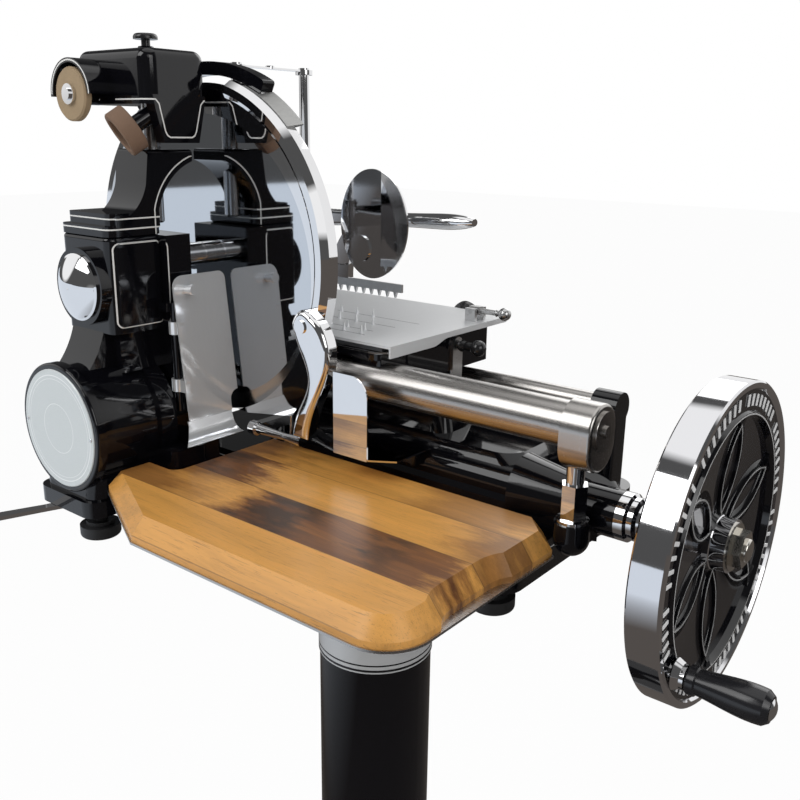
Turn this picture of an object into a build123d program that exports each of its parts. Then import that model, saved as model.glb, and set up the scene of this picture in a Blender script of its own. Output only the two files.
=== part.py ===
"""Hand-cranked meat slicer with a flower flywheel, on its round pedestal.

Millimetres, +Z up, +X towards the flywheel, +Y away from the operator.
The origin is on the floor, on the axis of the pedestal.
"""

from build123d import *
from math import atan2, cos, degrees, pi, radians, sin, sqrt, tan
import os

os.makedirs("parts", exist_ok=True)

# ---------------------------------------------------------------- driving dimensions

# Reference point: centre of the guard's inner lip, in the plane of the blade's polished face
ref_x = -195
ref_y = -30
ref_z = 1000

# Clearances
fit = 0.05              # radial gap of a turning or sliding fit
gap = 0.3               # gap between seated pieces that move apart
ease = 2.0              # gap to a piece that swings or slides past

# Blade
blade_d = 320
blade_t = 3
blade_bevel = 16
blade_rise = 14         # the blade's axis above the centre of the guard's lip
shaft_d = 22
hub_cap_d = 64
hub_cap_t = 3

# Blade guard
lip_d = 292
guard_gap = 6.5         # from the blade's edge to the outside of the guard
guard_d = blade_d + 2 * guard_gap
guard_wall = 2
guard_front = 9         # how far the guard stands in front of the blade's face
guard_back = 8          # how far it reaches behind the face
guard_low_angle = -20
guard_top_angle = 75
cover_from_angle = 118
cover_to_angle = 262

# Column
col_w = 77
col_front = 118         # from the blade's face to the column's front
col_back = 58
col_x = -33.5           # middle of the column
col_top = 37
col_step = -52          # underside of the upper box
col_r = 9
pillar_back = 36
boss_w = 32
boss_h = 44
drum_x = -33
drum_z = -139
drum_d = 124
drum_front = 160
badge_d = 113
badge_t = 2.5
lamp_z = -10
lamp_d = 58
lamp_ring_d = 72
lamp_stand = 9
dome_h = 9
lever_x = -50           # pivot of the slice lever
lever_y = -138
lever_len = 96
lever_w = 12
lever_t = 4

# Base casting and feet
base_bottom = -222
plinth_h = 30
base_left = -85
base_right = 385
base_front = -38
base_back = 200
body_top = -140
body_front = 30
wing_front = -160
wing_right = 9
wing_top = -206
foot_d = 38
foot_h = 12
foot_stem_d = 14
foot_stem_h = 12

# Pedestal
ped_base_d = 440
ped_base_h = 26
ped_d = 112
ped_wall = 5
ped_skirt_h = 130
ped_plate_w = 210
ped_plate_d = 170
ped_plate_t = 12
ped_band_h = 28
ped_band_z = 636
bolt_circle_d = 380
bolt_hole_d = 11

# Rail between the column and the flywheel
tube_d = 38
tube_y = 25
tube_z = -88
tube_left = -78
tube_right = 400
end_len = 27
end_drop = 12           # how far the end fitting hangs below the tube
post_x = 406
post_stem_d = 15
hex_af = 20
hex_h = 30
washer_d = 27
washer_t = 3
cup_d = 30
cup_top = -169
rear_rail_d = 20
rear_rail_y = 168
rear_rail_z = -112

# Slice deflector and its hinge
hinge_x = 22
hinge_y = -63
hinge_d = 8
hinge_low = -132
hinge_top = -26
defl_top_x = 24
defl_low_x = 40
defl_near_y = -4
defl_far_y = -67
defl_top_z = -1
defl_low_z = -139
defl_t = 1.5
gutter_near_y = -15
gutter_far_y = -88

# End plate beside the guard
end_plate_left = 184
end_plate_right = 224
end_plate_top = -74
end_plate_y = -17
end_plate_t = 1.5
end_plate_foot_z = -150

# Flywheel and its shaft
wheel_x = 521           # outer face of the rim
wheel_y = 59.3
wheel_z = -167
wheel_d = 254.6
wheel_w = 25.5
rim_t = 7
band_in_d = 206
web_t = 5
hub_d = 42
hub_len = 30
hub_front = 3
petals = 6
petal_in = 23
petal_out = 93
petal_w = 27
petal_rib = 4
petal_rise = 2.2
petal_first = 24        # turn of the first petal from +Y
nut_d = 26
housing_d = 41
housing_right = 434
collar_len = 24
drive_d = 20
crank_r = 110
crank_angle = 218
spindle_d = 10
grip_len = 58
grip_d = 27

# Carriage and meat table
carriage_left = -28
carriage_right = 212
carriage_front = 12
carriage_back = 190
carriage_top = -60
carriage_wall = 6
carriage_bottom = -95
carriage_low_y = 48     # front wall, behind the rail
rear_saddle_x = 70
shelf_t = 1.5
lock_y = 130
lock_z = -70
lock_stud_d = 6
lock_ball_r = 8
table_right = 221
table_left = -34
table_front = 17
table_back = 214
table_z = -52
table_t = 2.5
flange_h = 11
wave_y = 80             # where the flange grows shallow
runner_x = 27
runner_y = 110
runner_pitch = 130
spike_rows = ((75, 113), (100, 83), (112, 57), (119, 44))
spike_pitch = 22
spike_d = 4
spike_h = 8
lever_ball_r = 6.5
lever_pivot_x = 206
lever_pivot_y = 172
lever_pivot_z = -42
feed_x = 156
feed_z = -62
saddle_w = 34

# Meat press
post_d = 11
press_post_x = -16
press_post_y = 58
press_post_gap = 96
press_top = 196
press_y = 104
press_z = 34            # middle of the slider
shield_x = 138
shield_z = 45
shield_w = 80
shield_h = 105
shield_t = 2
fold_x = 12
fold_angle = 12
handle_end = 247
# handle's half widths in Y and half heights in Z, evenly spaced along it
handle_sections = (
    (6.5, 6.2),
    (6.5, 6.2),
    (6.7, 6.4),
    (7.1, 6.6),
    (7.6, 6.8),
    (8.3, 7.1),
    (9, 7.4),
    (8.6, 6.8),
    (4.5, 3.4),
)
jaw_left = 70
jaw_right = 164
jaw_top = -13
jaw_bottom = -27
jaw_teeth = 9

# Board and tray
board_top = -170
board_t = 20
board_left = 23
board_right = 404
board_front = -201
board_back = 24
board_bevel = 11
board_notch_x = 61
board_notch_y = -100
board_corner = 36
tray_t = 2
tray_rim = 1.5

# Sharpener
swivel_x = -18
swivel_y = -48
head_left = -80
head_right = 27
head_front = -83
head_back = -15
head_top = 199
head_low = 152
skirt_low = 119
stone_d = 47
stone_t = 8
stone_x = -52
stone_y = -104
stone_z = 160
cup_stone_d = 42
cup_stone_h = 16
cup_stone_x = 1
cup_stone_y = -88
cup_stone_z = 129
knob_top = 214
post_rod_d = 16
arm_top = 113
arm_w = 47
arm_x = -18.5

# ---------------------------------------------------------------- planes and helpers


def plan(z, x=0, y=0):
    """Level plane at height z, its origin x and y from the reference point."""
    return Plane(origin=(ref_x + x, ref_y + y, ref_z + z))


def front(y, x=0, z=0):
    """Upright plane facing the operator: sketch x is X, sketch y is Z."""
    return Plane(origin=(ref_x + x, ref_y + y, ref_z + z), x_dir=(1, 0, 0), z_dir=(0, -1, 0))


def side(x, y=0, z=0):
    """Upright plane facing the flywheel: sketch x is Y, sketch y is Z."""
    return Plane(origin=(ref_x + x, ref_y + y, ref_z + z), x_dir=(0, 1, 0), z_dir=(1, 0, 0))


def point(x, y, z):
    return Vector(ref_x + x, ref_y + y, ref_z + z)


def z_axis(x, y):
    return Axis(point(x, y, 0), (0, 0, 1))


def y_axis(x, z):
    return Axis(point(x, 0, z), (0, 1, 0))


def x_axis(y, z):
    return Axis(point(0, y, z), (1, 0, 0))


def cap_radius(half_width, height):
    """Radius of the round cap that is height tall over a disc of this half width."""
    return (half_width ** 2 + height ** 2) / (2 * height)


def ball_end(start, neck_r, ball_r):
    """Three points of a ball's outline: at its neck, at its widest, and on its axis."""
    middle = start + sqrt(ball_r ** 2 - neck_r ** 2)
    return (start, neck_r), (middle, ball_r), (middle + ball_r, 0)


def finish(block, name):
    """Label a finished piece and write it."""
    block.part.label = name
    export_step(block.part, "parts/" + name + ".step")


# ---------------------------------------------------------------- pedestal

floor_z = -ref_z
plate_bottom = base_bottom - ped_plate_t

with BuildPart() as pedestal_base:
    with BuildSketch(Plane.XZ) as base_profile:
        with BuildLine():
            rise = Line((0, 0), (ped_base_d / 2, 0))
            edge = Line(rise @ 1, (ped_base_d / 2, ped_base_h - 8))
            lip = RadiusArc(edge @ 1, (ped_base_d / 2 - 8, ped_base_h), -8)
            shelf = Line(lip @ 1, (ped_d / 2 + 62, ped_base_h + 8))
            flare = RadiusArc(shelf @ 1, (ped_d / 2 + 8, ped_skirt_h), 110)
            Polyline(flare @ 1, (0, ped_skirt_h), (0, 0))
        make_face()
    revolve(axis=Axis.Z)
    with Locations(Plane.XY.offset(ped_base_h - 4)):
        with PolarLocations(bolt_circle_d / 2, 4, start_angle=45):
            Hole(bolt_hole_d / 2, depth=ped_base_h * 2)
finish(pedestal_base, "pedestal_base")

with BuildPart() as pedestal_column:
    with BuildSketch(Plane.XY.offset(ped_skirt_h)):
        Circle(ped_d / 2)
        Circle(ped_d / 2 - ped_wall, mode=Mode.SUBTRACT)
    extrude(amount=ref_z + plate_bottom - ped_skirt_h)
finish(pedestal_column, "pedestal_column")

with BuildPart() as pedestal_band:
    with BuildSketch(Plane.XY.offset(ped_band_z)):
        Circle(ped_d / 2 + 1.2)
        Circle(ped_d / 2, mode=Mode.SUBTRACT)
    extrude(amount=ped_band_h)
finish(pedestal_band, "pedestal_band")

with BuildPart() as pedestal_plate:
    with BuildSketch(Plane.XY.offset(ref_z + plate_bottom)):
        RectangleRounded(ped_plate_w, ped_plate_d, 18)
    extrude(amount=ped_plate_t)
    chamfer(pedestal_plate.edges().filter_by(Plane.XY), 1.5)
finish(pedestal_plate, "pedestal_plate")

# ---------------------------------------------------------------- base casting

plinth_top = board_top - board_t - tray_t
wheel_bore_r = drive_d / 2 + fit
cup_x = post_x
rear_post_r = rear_rail_d / 2 + 5
stem_seat = 10
feet = {
    "front_left": (-10, -140),
    "front_right": (358, -14),
    "back_left": (-62, 180),
    "back_right": (348, 180),
}

with BuildPart() as base:
    # plinth under the whole machine
    with BuildSketch(plan(base_bottom)) as plinth_plan:
        with Locations(((base_left + base_right) / 2, (base_front + base_back) / 2)):
            RectangleRounded(base_right - base_left, base_back - base_front, 24)
    extrude(amount=plinth_top - base_bottom)
    # front wing that carries the column
    with BuildSketch(plan(base_bottom)):
        with Locations(((base_left + wing_right) / 2, (wing_front + base_front) / 2 + 15)):
            RectangleRounded(wing_right - base_left, base_front - wing_front + 30, 16)
        with Locations(((base_left + 50) / 2, -52)):
            RectangleRounded(50 - base_left, 88, 10)
    extrude(amount=wing_top - base_bottom)
    # the column's back foot stands in a lowered seat
    with BuildSketch(plan(wing_top)):
        with Locations(((base_left + board_notch_x) / 2, (base_front - col_back) / 2)):
            Rectangle(board_notch_x - base_left, base_front + col_back + 80)
    extrude(amount=plinth_top - wing_top + 1, mode=Mode.SUBTRACT)
    # body of the casting, tapering up to the drive housing
    body_mid_x = (20 + base_right) / 2
    body_w = base_right - 20
    body_mid_y = (body_front + base_back) / 2
    body_d = base_back - body_front
    with BuildSketch(plan(plinth_top, body_mid_x, body_mid_y - 4)):
        RectangleRounded(body_w - 6, body_d - 12, 30)
    with BuildSketch(plan(-165, body_mid_x - 4, body_mid_y - 6)):
        RectangleRounded(body_w - 36, body_d - 34, 28)
    with BuildSketch(plan(body_top, body_mid_x - 10, body_mid_y - 10)):
        RectangleRounded(body_w - 90, body_d - 72, 22)
    loft()
    # drive housing on top
    with BuildSketch(plan(body_top - 2, 175, 92)):
        RectangleRounded(150, 62, 16)
    with BuildSketch(plan(body_top + 18, 175, 94)):
        RectangleRounded(132, 46, 12)
    loft()
    # shaft housing towards the flywheel
    with BuildSketch(side(body_mid_x, wheel_y, wheel_z)):
        Circle(housing_d / 2)
    extrude(amount=housing_right - body_mid_x)
    with BuildSketch(side(base_right - 45, wheel_y, wheel_z)):
        Circle(housing_d / 2 + 11)
    with BuildSketch(side(base_right + 12, wheel_y, wheel_z)):
        Circle(housing_d / 2 + 1)
    loft()
    # arm and cup that carry the rail's front post
    with BuildSketch(plan(cup_top - 22)):
        with BuildLine():
            Polyline(
                (post_x - 52, wheel_y - 4),
                (post_x - 52, board_back + ease + 10),
                (post_x - cup_d / 2 + 2, board_back + ease + 10),
                (post_x + cup_d / 2 - 3, wheel_y - 12),
                (post_x - 4, wheel_y),
                close=True,
            )
        make_face()
    extrude(amount=16)
    with BuildSketch(front(tube_y, cup_x)) as cup_profile:
        with BuildLine():
            Polyline((0, cup_top), (cup_d / 2, cup_top), (cup_d / 2, cup_top - 14))
            RadiusArc((cup_d / 2, cup_top - 14), (0, cup_top - 14 - cup_d / 2), cup_d / 2)
            Line((0, cup_top - 14 - cup_d / 2), (0, cup_top))
        make_face()
    revolve(axis=Axis(point(cup_x, tube_y, 0), (0, 0, 1)))
    # posts of the rear rail
    with BuildSketch(plan(plinth_top)):
        with Locations((base_left + 22, rear_rail_y), (base_right - 22, rear_rail_y)):
            RectangleRounded(26, 34, 8)
    extrude(amount=rear_rail_z - plinth_top)
    with BuildSketch(side(base_left + 9, rear_rail_y, rear_rail_z)):
        Circle(rear_post_r)
    extrude(amount=26)
    with BuildSketch(side(base_right - 35, rear_rail_y, rear_rail_z)):
        Circle(rear_post_r)
    extrude(amount=26)
    # pillar of the rail's left end
    with BuildSketch(plan(plinth_top)):
        with Locations((tube_left + 12, tube_y + 6)):
            RectangleRounded(26, 44, 8)
    extrude(amount=tube_z - plinth_top)
    with BuildSketch(side(tube_left - 1, tube_y, tube_z)):
        Circle(tube_d / 2 + 5)
    extrude(amount=26)
    # bores of the two rails and of the drive shaft
    with BuildSketch(side(tube_left, tube_y, tube_z)):
        Circle(tube_d / 2)
    extrude(amount=42, mode=Mode.SUBTRACT)
    with BuildSketch(side(base_left + 12, rear_rail_y, rear_rail_z)):
        Circle(rear_rail_d / 2)
    extrude(amount=base_right - base_left - 24, mode=Mode.SUBTRACT)
    with BuildSketch(side(housing_right - 60, wheel_y, wheel_z)):
        Circle(wheel_bore_r)
    extrude(amount=70, mode=Mode.SUBTRACT)
    # the left clamp is open towards the blade
    with BuildSketch(plan(tube_z - tube_d, tube_left + 12, 4)):
        Rectangle(50, 16)
    extrude(amount=tube_d * 2, mode=Mode.SUBTRACT)
    # seat of the end plate's foot
    with BuildSketch(plan(end_plate_foot_z - 14, 212, 45)):
        RectangleRounded(56, 30, 5)
    extrude(amount=14)
    # threaded seats of the four feet
    with BuildSketch(plan(base_bottom)):
        with Locations(*feet.values()):
            Circle(foot_stem_d / 2)
    extrude(amount=stem_seat, mode=Mode.SUBTRACT)
    # ribs under the tray
    with BuildSketch(plan(plinth_top)):
        with Locations((95, (board_front + base_front) / 2 + 30), (320, (board_front + base_front) / 2 + 30)):
            Rectangle(22, base_front - board_front - 60)
    extrude(amount=-10)
finish(base, "base")

for place, (foot_x, foot_y) in feet.items():
    with BuildPart() as foot:
        with BuildSketch(plan(base_bottom + stem_seat - gap, foot_x, foot_y)):
            Circle(foot_stem_d / 2)
        extrude(amount=-(foot_stem_h + stem_seat))
        with BuildSketch(plan(base_bottom - foot_stem_h, foot_x, foot_y)):
            Circle(foot_stem_d / 2 + 6)
        extrude(amount=4)
        with BuildSketch(plan(base_bottom - foot_stem_h, foot_x, foot_y)):
            Circle(foot_d / 2)
        extrude(amount=-foot_h)
        fillet(foot.edges().filter_by(GeomType.CIRCLE).group_by(Axis.Z)[0], 3.5)
    finish(foot, "foot_" + place)

# ---------------------------------------------------------------- column

col_left = col_x - col_w / 2
col_right = col_x + col_w / 2
col_mid_y = -(col_front + col_back) / 2
col_d = col_front - col_back
drum_r = drum_d / 2
boss_low = blade_rise - boss_h / 2

with BuildPart() as column:
    # upper box
    with BuildSketch(plan(col_step, col_x, col_mid_y)):
        RectangleRounded(col_w, col_d, col_r)
    extrude(amount=col_top - col_step)
    fillet(column.edges().group_by(Axis.Z)[-1], 4)
    # raised panel on the flywheel side
    with BuildSketch(side(col_right - 1, col_mid_y, (col_top + col_step) / 2)):
        RectangleRounded(col_d - 14, col_top - col_step - 12, 5)
    extrude(amount=2.5)
    # ring boss round the dome
    with BuildSketch(front(-col_front + 2, col_x, lamp_z)):
        Circle(lamp_ring_d / 2)
    extrude(amount=lamp_stand + 2)
    # neck between the box and the drum
    with BuildSketch(front(-col_back - 1)):
        with BuildLine():
            Polyline((col_left + 4, col_step + 4), (col_right - 4, col_step + 4))
            RadiusArc((col_right - 4, col_step + 4), (drum_x + 36, drum_z + 50), -60)
            Polyline((drum_x + 36, drum_z + 50), (drum_x - 50, drum_z + 36))
            RadiusArc((drum_x - 50, drum_z + 36), (col_left + 4, col_step + 4), -90)
        make_face()
    extrude(amount=col_front - col_back - 10)
    # apron that sweeps forward from the box to the drum
    with BuildSketch(side(col_x - 30)):
        with BuildLine():
            apron_top = (-col_front + 1, lamp_z + 6)
            Line(apron_top, (-col_front + 22, lamp_z + 6))
            Line((-col_front + 22, lamp_z + 6), (-col_front + 22, drum_z + 40))
            Line((-col_front + 22, drum_z + 40), (-drum_front + 8, drum_z + 40))
            RadiusArc((-drum_front + 8, drum_z + 40), apron_top, -90)
        make_face()
    extrude(amount=50)
    # gear drum
    with BuildSketch(front(-col_back - 14, drum_x, drum_z)):
        Circle(drum_r - 4)
    extrude(amount=drum_front - col_back - 14)
    with BuildSketch(front(-col_back - 14, drum_x, drum_z)):
        Circle(drum_r)
    extrude(amount=18)
    with BuildSketch(front(-drum_front + 10, drum_x, drum_z)):
        Circle(drum_r)
    extrude(amount=10)
    fillet(column.edges().filter_by(GeomType.CIRCLE).group_by(Axis.Y)[0].filter_by(
        lambda e: e.radius > drum_r - 1), 2.5)
    # bearing pillar behind the box, from the blade's axis down to the base
    with BuildSketch(front(-pillar_back)):
        with BuildLine():
            Polyline(
                (boss_w / 2, boss_low + boss_h),
                (boss_w / 2, boss_low),
                (boss_w / 2 - 3, -160),
                (44, -163),
                (48, wing_top),
                (-64, wing_top),
                (-64, -150),
                (col_left + 6, -40),
                (col_left + 6, boss_low + boss_h),
                close=True,
            )
        make_face()
    extrude(amount=col_back - pillar_back + 6)
    # foot block beside the board's notch
    with BuildSketch(plan(wing_top)):
        with Locations((-8, -72)):
            RectangleRounded(112, 40, 6)
    extrude(amount=43)
    # skirt under the drum
    with BuildSketch(plan(wing_top, -37, -106)):
        RectangleRounded(86, 98, 14)
    with BuildSketch(plan(drum_z - 30, drum_x - 4, -108)):
        RectangleRounded(86, 84, 12)
    loft()
    # recess of the badge plate and of the dome
    with BuildSketch(front(-drum_front + 1.5, drum_x, drum_z)):
        Circle(badge_d / 2 + gap)
    extrude(amount=4, mode=Mode.SUBTRACT)
    # bore of the blade's shaft
    with BuildSketch(front(-pillar_back + 1, 0, blade_rise)):
        Circle(shaft_d / 2 + fit)
    extrude(amount=24, mode=Mode.SUBTRACT)
    # hinge rod of the slice deflector, held at both ends
    with BuildSketch(plan(hinge_low, hinge_x, hinge_y)):
        Circle(hinge_d / 2)
    extrude(amount=hinge_top - hinge_low)
    for ear_z in (hinge_low, hinge_top - 8):
        with BuildSketch(plan(ear_z, (hinge_x + 2) / 2, hinge_y - 3)):
            Rectangle(hinge_x - 2, 13)
        extrude(amount=8)
finish(column, "column")

with BuildPart() as badge_plate:
    with BuildSketch(front(-drum_front + 1.5, drum_x, drum_z)):
        Circle(badge_d / 2)
    extrude(amount=badge_t)
    chamfer(badge_plate.edges().group_by(Axis.Y)[0], 0.6)
finish(badge_plate, "badge_plate")

dome_y = -col_front - lamp_stand
with BuildPart() as dome:
    with BuildSketch(plan(lamp_z, col_x)):
        with BuildLine():
            r = lamp_d / 2
            Polyline((0, dome_y), (r + 2, dome_y), (r + 2, dome_y - 2), (r, dome_y - 3))
            RadiusArc((r, dome_y - 3), (0, dome_y - 3 - dome_h), cap_radius(r, dome_h))
            Line((0, dome_y - 3 - dome_h), (0, dome_y))
        make_face()
    revolve(axis=y_axis(col_x, lamp_z))
finish(dome, "dome")

# lever that sets the slice thickness, under the base
with BuildPart() as slice_lever:
    with BuildSketch(plan(base_bottom - gap, lever_x, lever_y)):
        Circle(lever_w / 2 + 3)
        with BuildLine():
            Polyline(
                (lever_w / 2, 0),
                (lever_w / 2 - 12, -34),
                (lever_w / 2 - 30, -lever_len + 8),
                (-lever_w / 2 - 34, -lever_len + 4),
                (-lever_w / 2 - 26, -lever_len + 22),
                (-lever_w / 2 - 8, -28),
                (-lever_w / 2, 2),
                close=True,
            )
        make_face()
    extrude(amount=-lever_t)
    with BuildSketch(plan(base_bottom - gap - lever_t, lever_x, lever_y)):
        Circle(6)
    extrude(amount=-4)
finish(slice_lever, "slice_lever")

# ---------------------------------------------------------------- arm above the column

with BuildPart() as arm:
    # stepped flange on the column
    with BuildSketch(plan(col_top, col_x, col_mid_y)):
        RectangleRounded(col_w, col_d, col_r)
    extrude(amount=9)
    with BuildSketch(plan(col_top + 9, col_x + 1, col_mid_y + 1)):
        RectangleRounded(col_w - 10, col_d - 8, col_r - 2)
    extrude(amount=11)
    # bracket rising and curving over towards the blade
    with BuildSketch(side(arm_x - arm_w / 2)):
        with BuildLine():
            foot_front = (-col_front + 24, col_top + 18)
            Polyline(
                (-col_back - 3, col_top + 6),
                (-col_front + 10, col_top + 6),
                (-col_front + 10, col_top + 18),
            )
            Line((-col_front + 10, col_top + 18), foot_front)
            RadiusArc(foot_front, (-74, col_top + 46), -46)
            Polyline((-74, col_top + 46), (-70, arm_top), (-20, arm_top), (-20, arm_top - 11))
            RadiusArc((-20, arm_top - 11), (-col_back - 3, col_top + 22), -62)
            Line((-col_back - 3, col_top + 22), (-col_back - 3, col_top + 6))
        make_face()
    extrude(amount=arm_w)
    fillet(arm.edges().group_by(Axis.Z)[-1], 3)
    # bore of the sharpener's post
    with BuildSketch(plan(arm_top + 1, swivel_x, swivel_y)):
        Circle(post_rod_d / 2 + fit)
    extrude(amount=-50, mode=Mode.SUBTRACT)
finish(arm, "arm")

# ---------------------------------------------------------------- blade

blade_r = blade_d / 2
with BuildPart() as blade:
    with BuildSketch(plan(blade_rise)):
        with BuildLine():
            Polyline(
                (shaft_d / 2, 0),
                (blade_r - blade_bevel, 0),
                (blade_r, blade_t * 0.6),
                (blade_r - 3, blade_t),
                (shaft_d / 2, blade_t),
                close=True,
            )
        make_face()
    revolve(axis=y_axis(0, blade_rise))
finish(blade, "blade")

shaft_in = 22
with BuildPart() as blade_shaft:
    with BuildSketch(plan(blade_rise)):
        with BuildLine():
            Polyline(
                (0, -pillar_back - shaft_in),
                (shaft_d / 2, -pillar_back - shaft_in),
                (shaft_d / 2, -13),
                (shaft_d / 2 - 1, -12.5),
                (shaft_d / 2 - 1, -11.5),
                (shaft_d / 2, -11),
                (shaft_d / 2, blade_t),
                (0, blade_t),
                close=True,
            )
        make_face()
    revolve(axis=y_axis(0, blade_rise))
finish(blade_shaft, "blade_shaft")

with BuildPart() as hub_cap:
    with BuildSketch(front(blade_t + hub_cap_t, 0, blade_rise)):
        Circle(hub_cap_d / 2)
    extrude(amount=hub_cap_t)
    chamfer(hub_cap.edges().group_by(Axis.Y)[-1], 1)
finish(hub_cap, "hub_cap")

# ---------------------------------------------------------------- guard round the blade

guard_r = guard_d / 2
lip_r = lip_d / 2
sheet = 1.5


def guard_section():
    """Corners of the guard's hollow section: bulged front and outer band."""
    inner = guard_r - guard_wall
    return [
        (inner, guard_back),
        (guard_r, guard_back),
        (guard_r, -guard_front + 6),
        (guard_r - 5, -guard_front),
        (guard_r - 12, -guard_front),
        (guard_r - 16, -guard_front + 3),
        (guard_r - 16, -guard_front + 3 + guard_wall),
        (guard_r - 11, -guard_front + guard_wall),
        (guard_r - 6, -guard_front + guard_wall),
        (inner, -guard_front + 7),
    ]


def polar(radius, angle, z=0):
    """Point on a circle in the XZ plane, angle from +X upwards."""
    return (radius * cos(radians(angle)), z + radius * sin(radians(angle)))


with BuildPart() as guard_ring:
    ring_plane = Plane(
        origin=point(0, 0, blade_rise),
        x_dir=(cos(radians(guard_low_angle)), 0, sin(radians(guard_low_angle))),
        z_dir=(-sin(radians(guard_low_angle)), 0, cos(radians(guard_low_angle))),
    )
    with BuildSketch(ring_plane):
        with BuildLine():
            Polyline(*guard_section(), close=True)
        make_face()
    revolve(axis=y_axis(0, blade_rise), revolution_arc=-(guard_top_angle - guard_low_angle))
    # crescent of sheet between the round lip and the ring
    with BuildSketch(front(-guard_front + 3 + guard_wall)):
        with BuildLine():
            Line(polar(lip_r, 86), (0.1, guard_r - 12 + blade_rise))
            RadiusArc(
                (0.1, guard_r - 12 + blade_rise),
                polar(guard_r - 12, -22, blade_rise),
                guard_r - 12,
            )
            Polyline(polar(guard_r - 12, -22, blade_rise), (148, -92), (118, -132), (56, -141))
            Line((56, -141), polar(lip_r, -74))
            RadiusArc(polar(lip_r, -74), polar(lip_r, 86), -lip_r)
        make_face()
    extrude(amount=sheet)
finish(guard_ring, "guard_ring")

with BuildPart() as guard_cover:
    cover_plane = Plane(
        origin=point(0, 0, blade_rise),
        x_dir=(cos(radians(cover_from_angle)), 0, sin(radians(cover_from_angle))),
        z_dir=(-sin(radians(cover_from_angle)), 0, cos(radians(cover_from_angle))),
    )
    with BuildSketch(cover_plane):
        with BuildLine():
            Polyline(*guard_section(), close=True)
        make_face()
    revolve(axis=y_axis(0, blade_rise), revolution_arc=-(cover_to_angle - cover_from_angle))
finish(guard_cover, "guard_cover")

# bracket from the column's bearing pillar to the cover, and the bridge over the blade's top
with BuildPart() as cover_bracket:
    with BuildSketch(plan(-14)):
        with BuildLine():
            Polyline(
                (col_left + 6, -col_back + 6),
                (col_left - 30, -col_back + 6),
                (-guard_r + 4, -guard_front - 14),
                (-guard_r + 4, -guard_front),
                (-guard_r + 12, -guard_front),
                (col_left - 20, -pillar_back),
                (col_left + 6, -pillar_back),
                close=True,
            )
        make_face()
    extrude(amount=26)
    fillet(cover_bracket.edges().filter_by(Axis.Y), 4)
finish(cover_bracket, "cover_bracket")

bridge_in = guard_r + 0.5
with BuildPart() as guard_bridge:
    with BuildSketch(front(guard_back + 10, 0, blade_rise)):
        with BuildLine():
            a0 = guard_top_angle - 12
            a1 = cover_from_angle + 10
            Line(polar(bridge_in, a0), polar(bridge_in + 12, a0))
            RadiusArc(polar(bridge_in + 12, a0), polar(bridge_in + 12, a1), -(bridge_in + 12))
            Line(polar(bridge_in + 12, a1), polar(bridge_in, a1))
            RadiusArc(polar(bridge_in, a1), polar(bridge_in, a0), bridge_in)
        make_face()
    extrude(amount=14)
    fillet(guard_bridge.edges().filter_by(Axis.Y), 3)
finish(guard_bridge, "guard_bridge")

flap_r = guard_r + 0.8
with BuildPart() as guard_flap:
    flap_plane = Plane(
        origin=point(0, 0, blade_rise),
        x_dir=(cos(radians(46)), 0, sin(radians(46))),
        z_dir=(-sin(radians(46)), 0, cos(radians(46))),
    )
    with BuildSketch(flap_plane):
        with BuildLine():
            Polyline(
                (guard_r, -guard_front + 6),
                (flap_r + 0.6, -guard_front + 6),
                (flap_r + 3.5, guard_back + 8),
                (flap_r + 2.0, guard_back + 8),
                (guard_r, guard_back),
                close=True,
            )
        make_face()
    revolve(axis=y_axis(0, blade_rise), revolution_arc=-16)
finish(guard_flap, "guard_flap")

# ---------------------------------------------------------------- lever and bar that hold the guard

bar_y = -16
bar_z = -150
bar_d = 10
bar_x = 73              # the bar's left end
leg_y = 28.6
knuckle = polar(guard_r - 8, guard_low_angle + 1, blade_rise)

with BuildPart() as guard_bar:
    with BuildSketch(front(bar_y, 0, bar_z)):
        with BuildLine():
            r = bar_d / 2
            Polyline((bar_x, 0), (bar_x, r + 2), (bar_x + 8, r + 2), (bar_x + 10, r), (118, r - 1.5))
            Polyline((118, r - 1.5), (142, r + 0.5), (142, 0), (bar_x, 0))
        make_face()
    revolve(axis=x_axis(bar_y, bar_z))
    # arm back under the blade, and its leg on the base
    with BuildSketch(plan(bar_z - bar_d / 2, bar_x + 5, (bar_y + leg_y) / 2)):
        RectangleRounded(10, leg_y + 2.5 - bar_y, 2)
    extrude(amount=bar_d)
    with BuildSketch(plan(plinth_top, bar_x + 5, leg_y)):
        RectangleRounded(12, 5, 2)
    extrude(amount=bar_z + bar_d / 2 - plinth_top)
finish(guard_bar, "guard_bar")

lever_front = -24
pivot_screw_r = 6.5
with BuildPart() as guard_lever:
    with BuildSketch(front(-guard_front - gap)):
        with BuildLine():
            kx, kz = knuckle
            Spline(
                (kx - 13, kz + 2), (kx - 4, kz - 22), (kx + 6, kz - 48), (kx - 6, kz - 78),
                (kx - 14, bar_z + 6),
            )
            Line((kx - 14, bar_z + 6), (kx + 4, bar_z + 5.5))
            Spline(
                (kx + 4, bar_z + 5.5), (kx + 24, kz - 52), (kx + 31, kz - 26), (kx + 26, kz - 4),
                (kx + 12, kz + 10),
            )
            Spline((kx + 12, kz + 10), (kx, kz + 15), (kx - 13, kz + 2))
        make_face()
    extrude(amount=-lever_front - guard_front)
    fillet(guard_lever.faces().sort_by(Axis.Y)[0].edges(), 5)
    # pivot screw
    with BuildSketch(front(lever_front + 1, *knuckle)):
        Circle(pivot_screw_r)
    extrude(amount=3)
finish(guard_lever, "guard_lever")

# ---------------------------------------------------------------- slice deflector

lean_angle = atan2(defl_low_x - defl_top_x, defl_top_z - defl_low_z)
lean = Vector(sin(lean_angle), 0, -cos(lean_angle))
defl_len = (defl_top_z - defl_low_z) / cos(lean_angle)
defl_w = defl_near_y - defl_far_y
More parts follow.
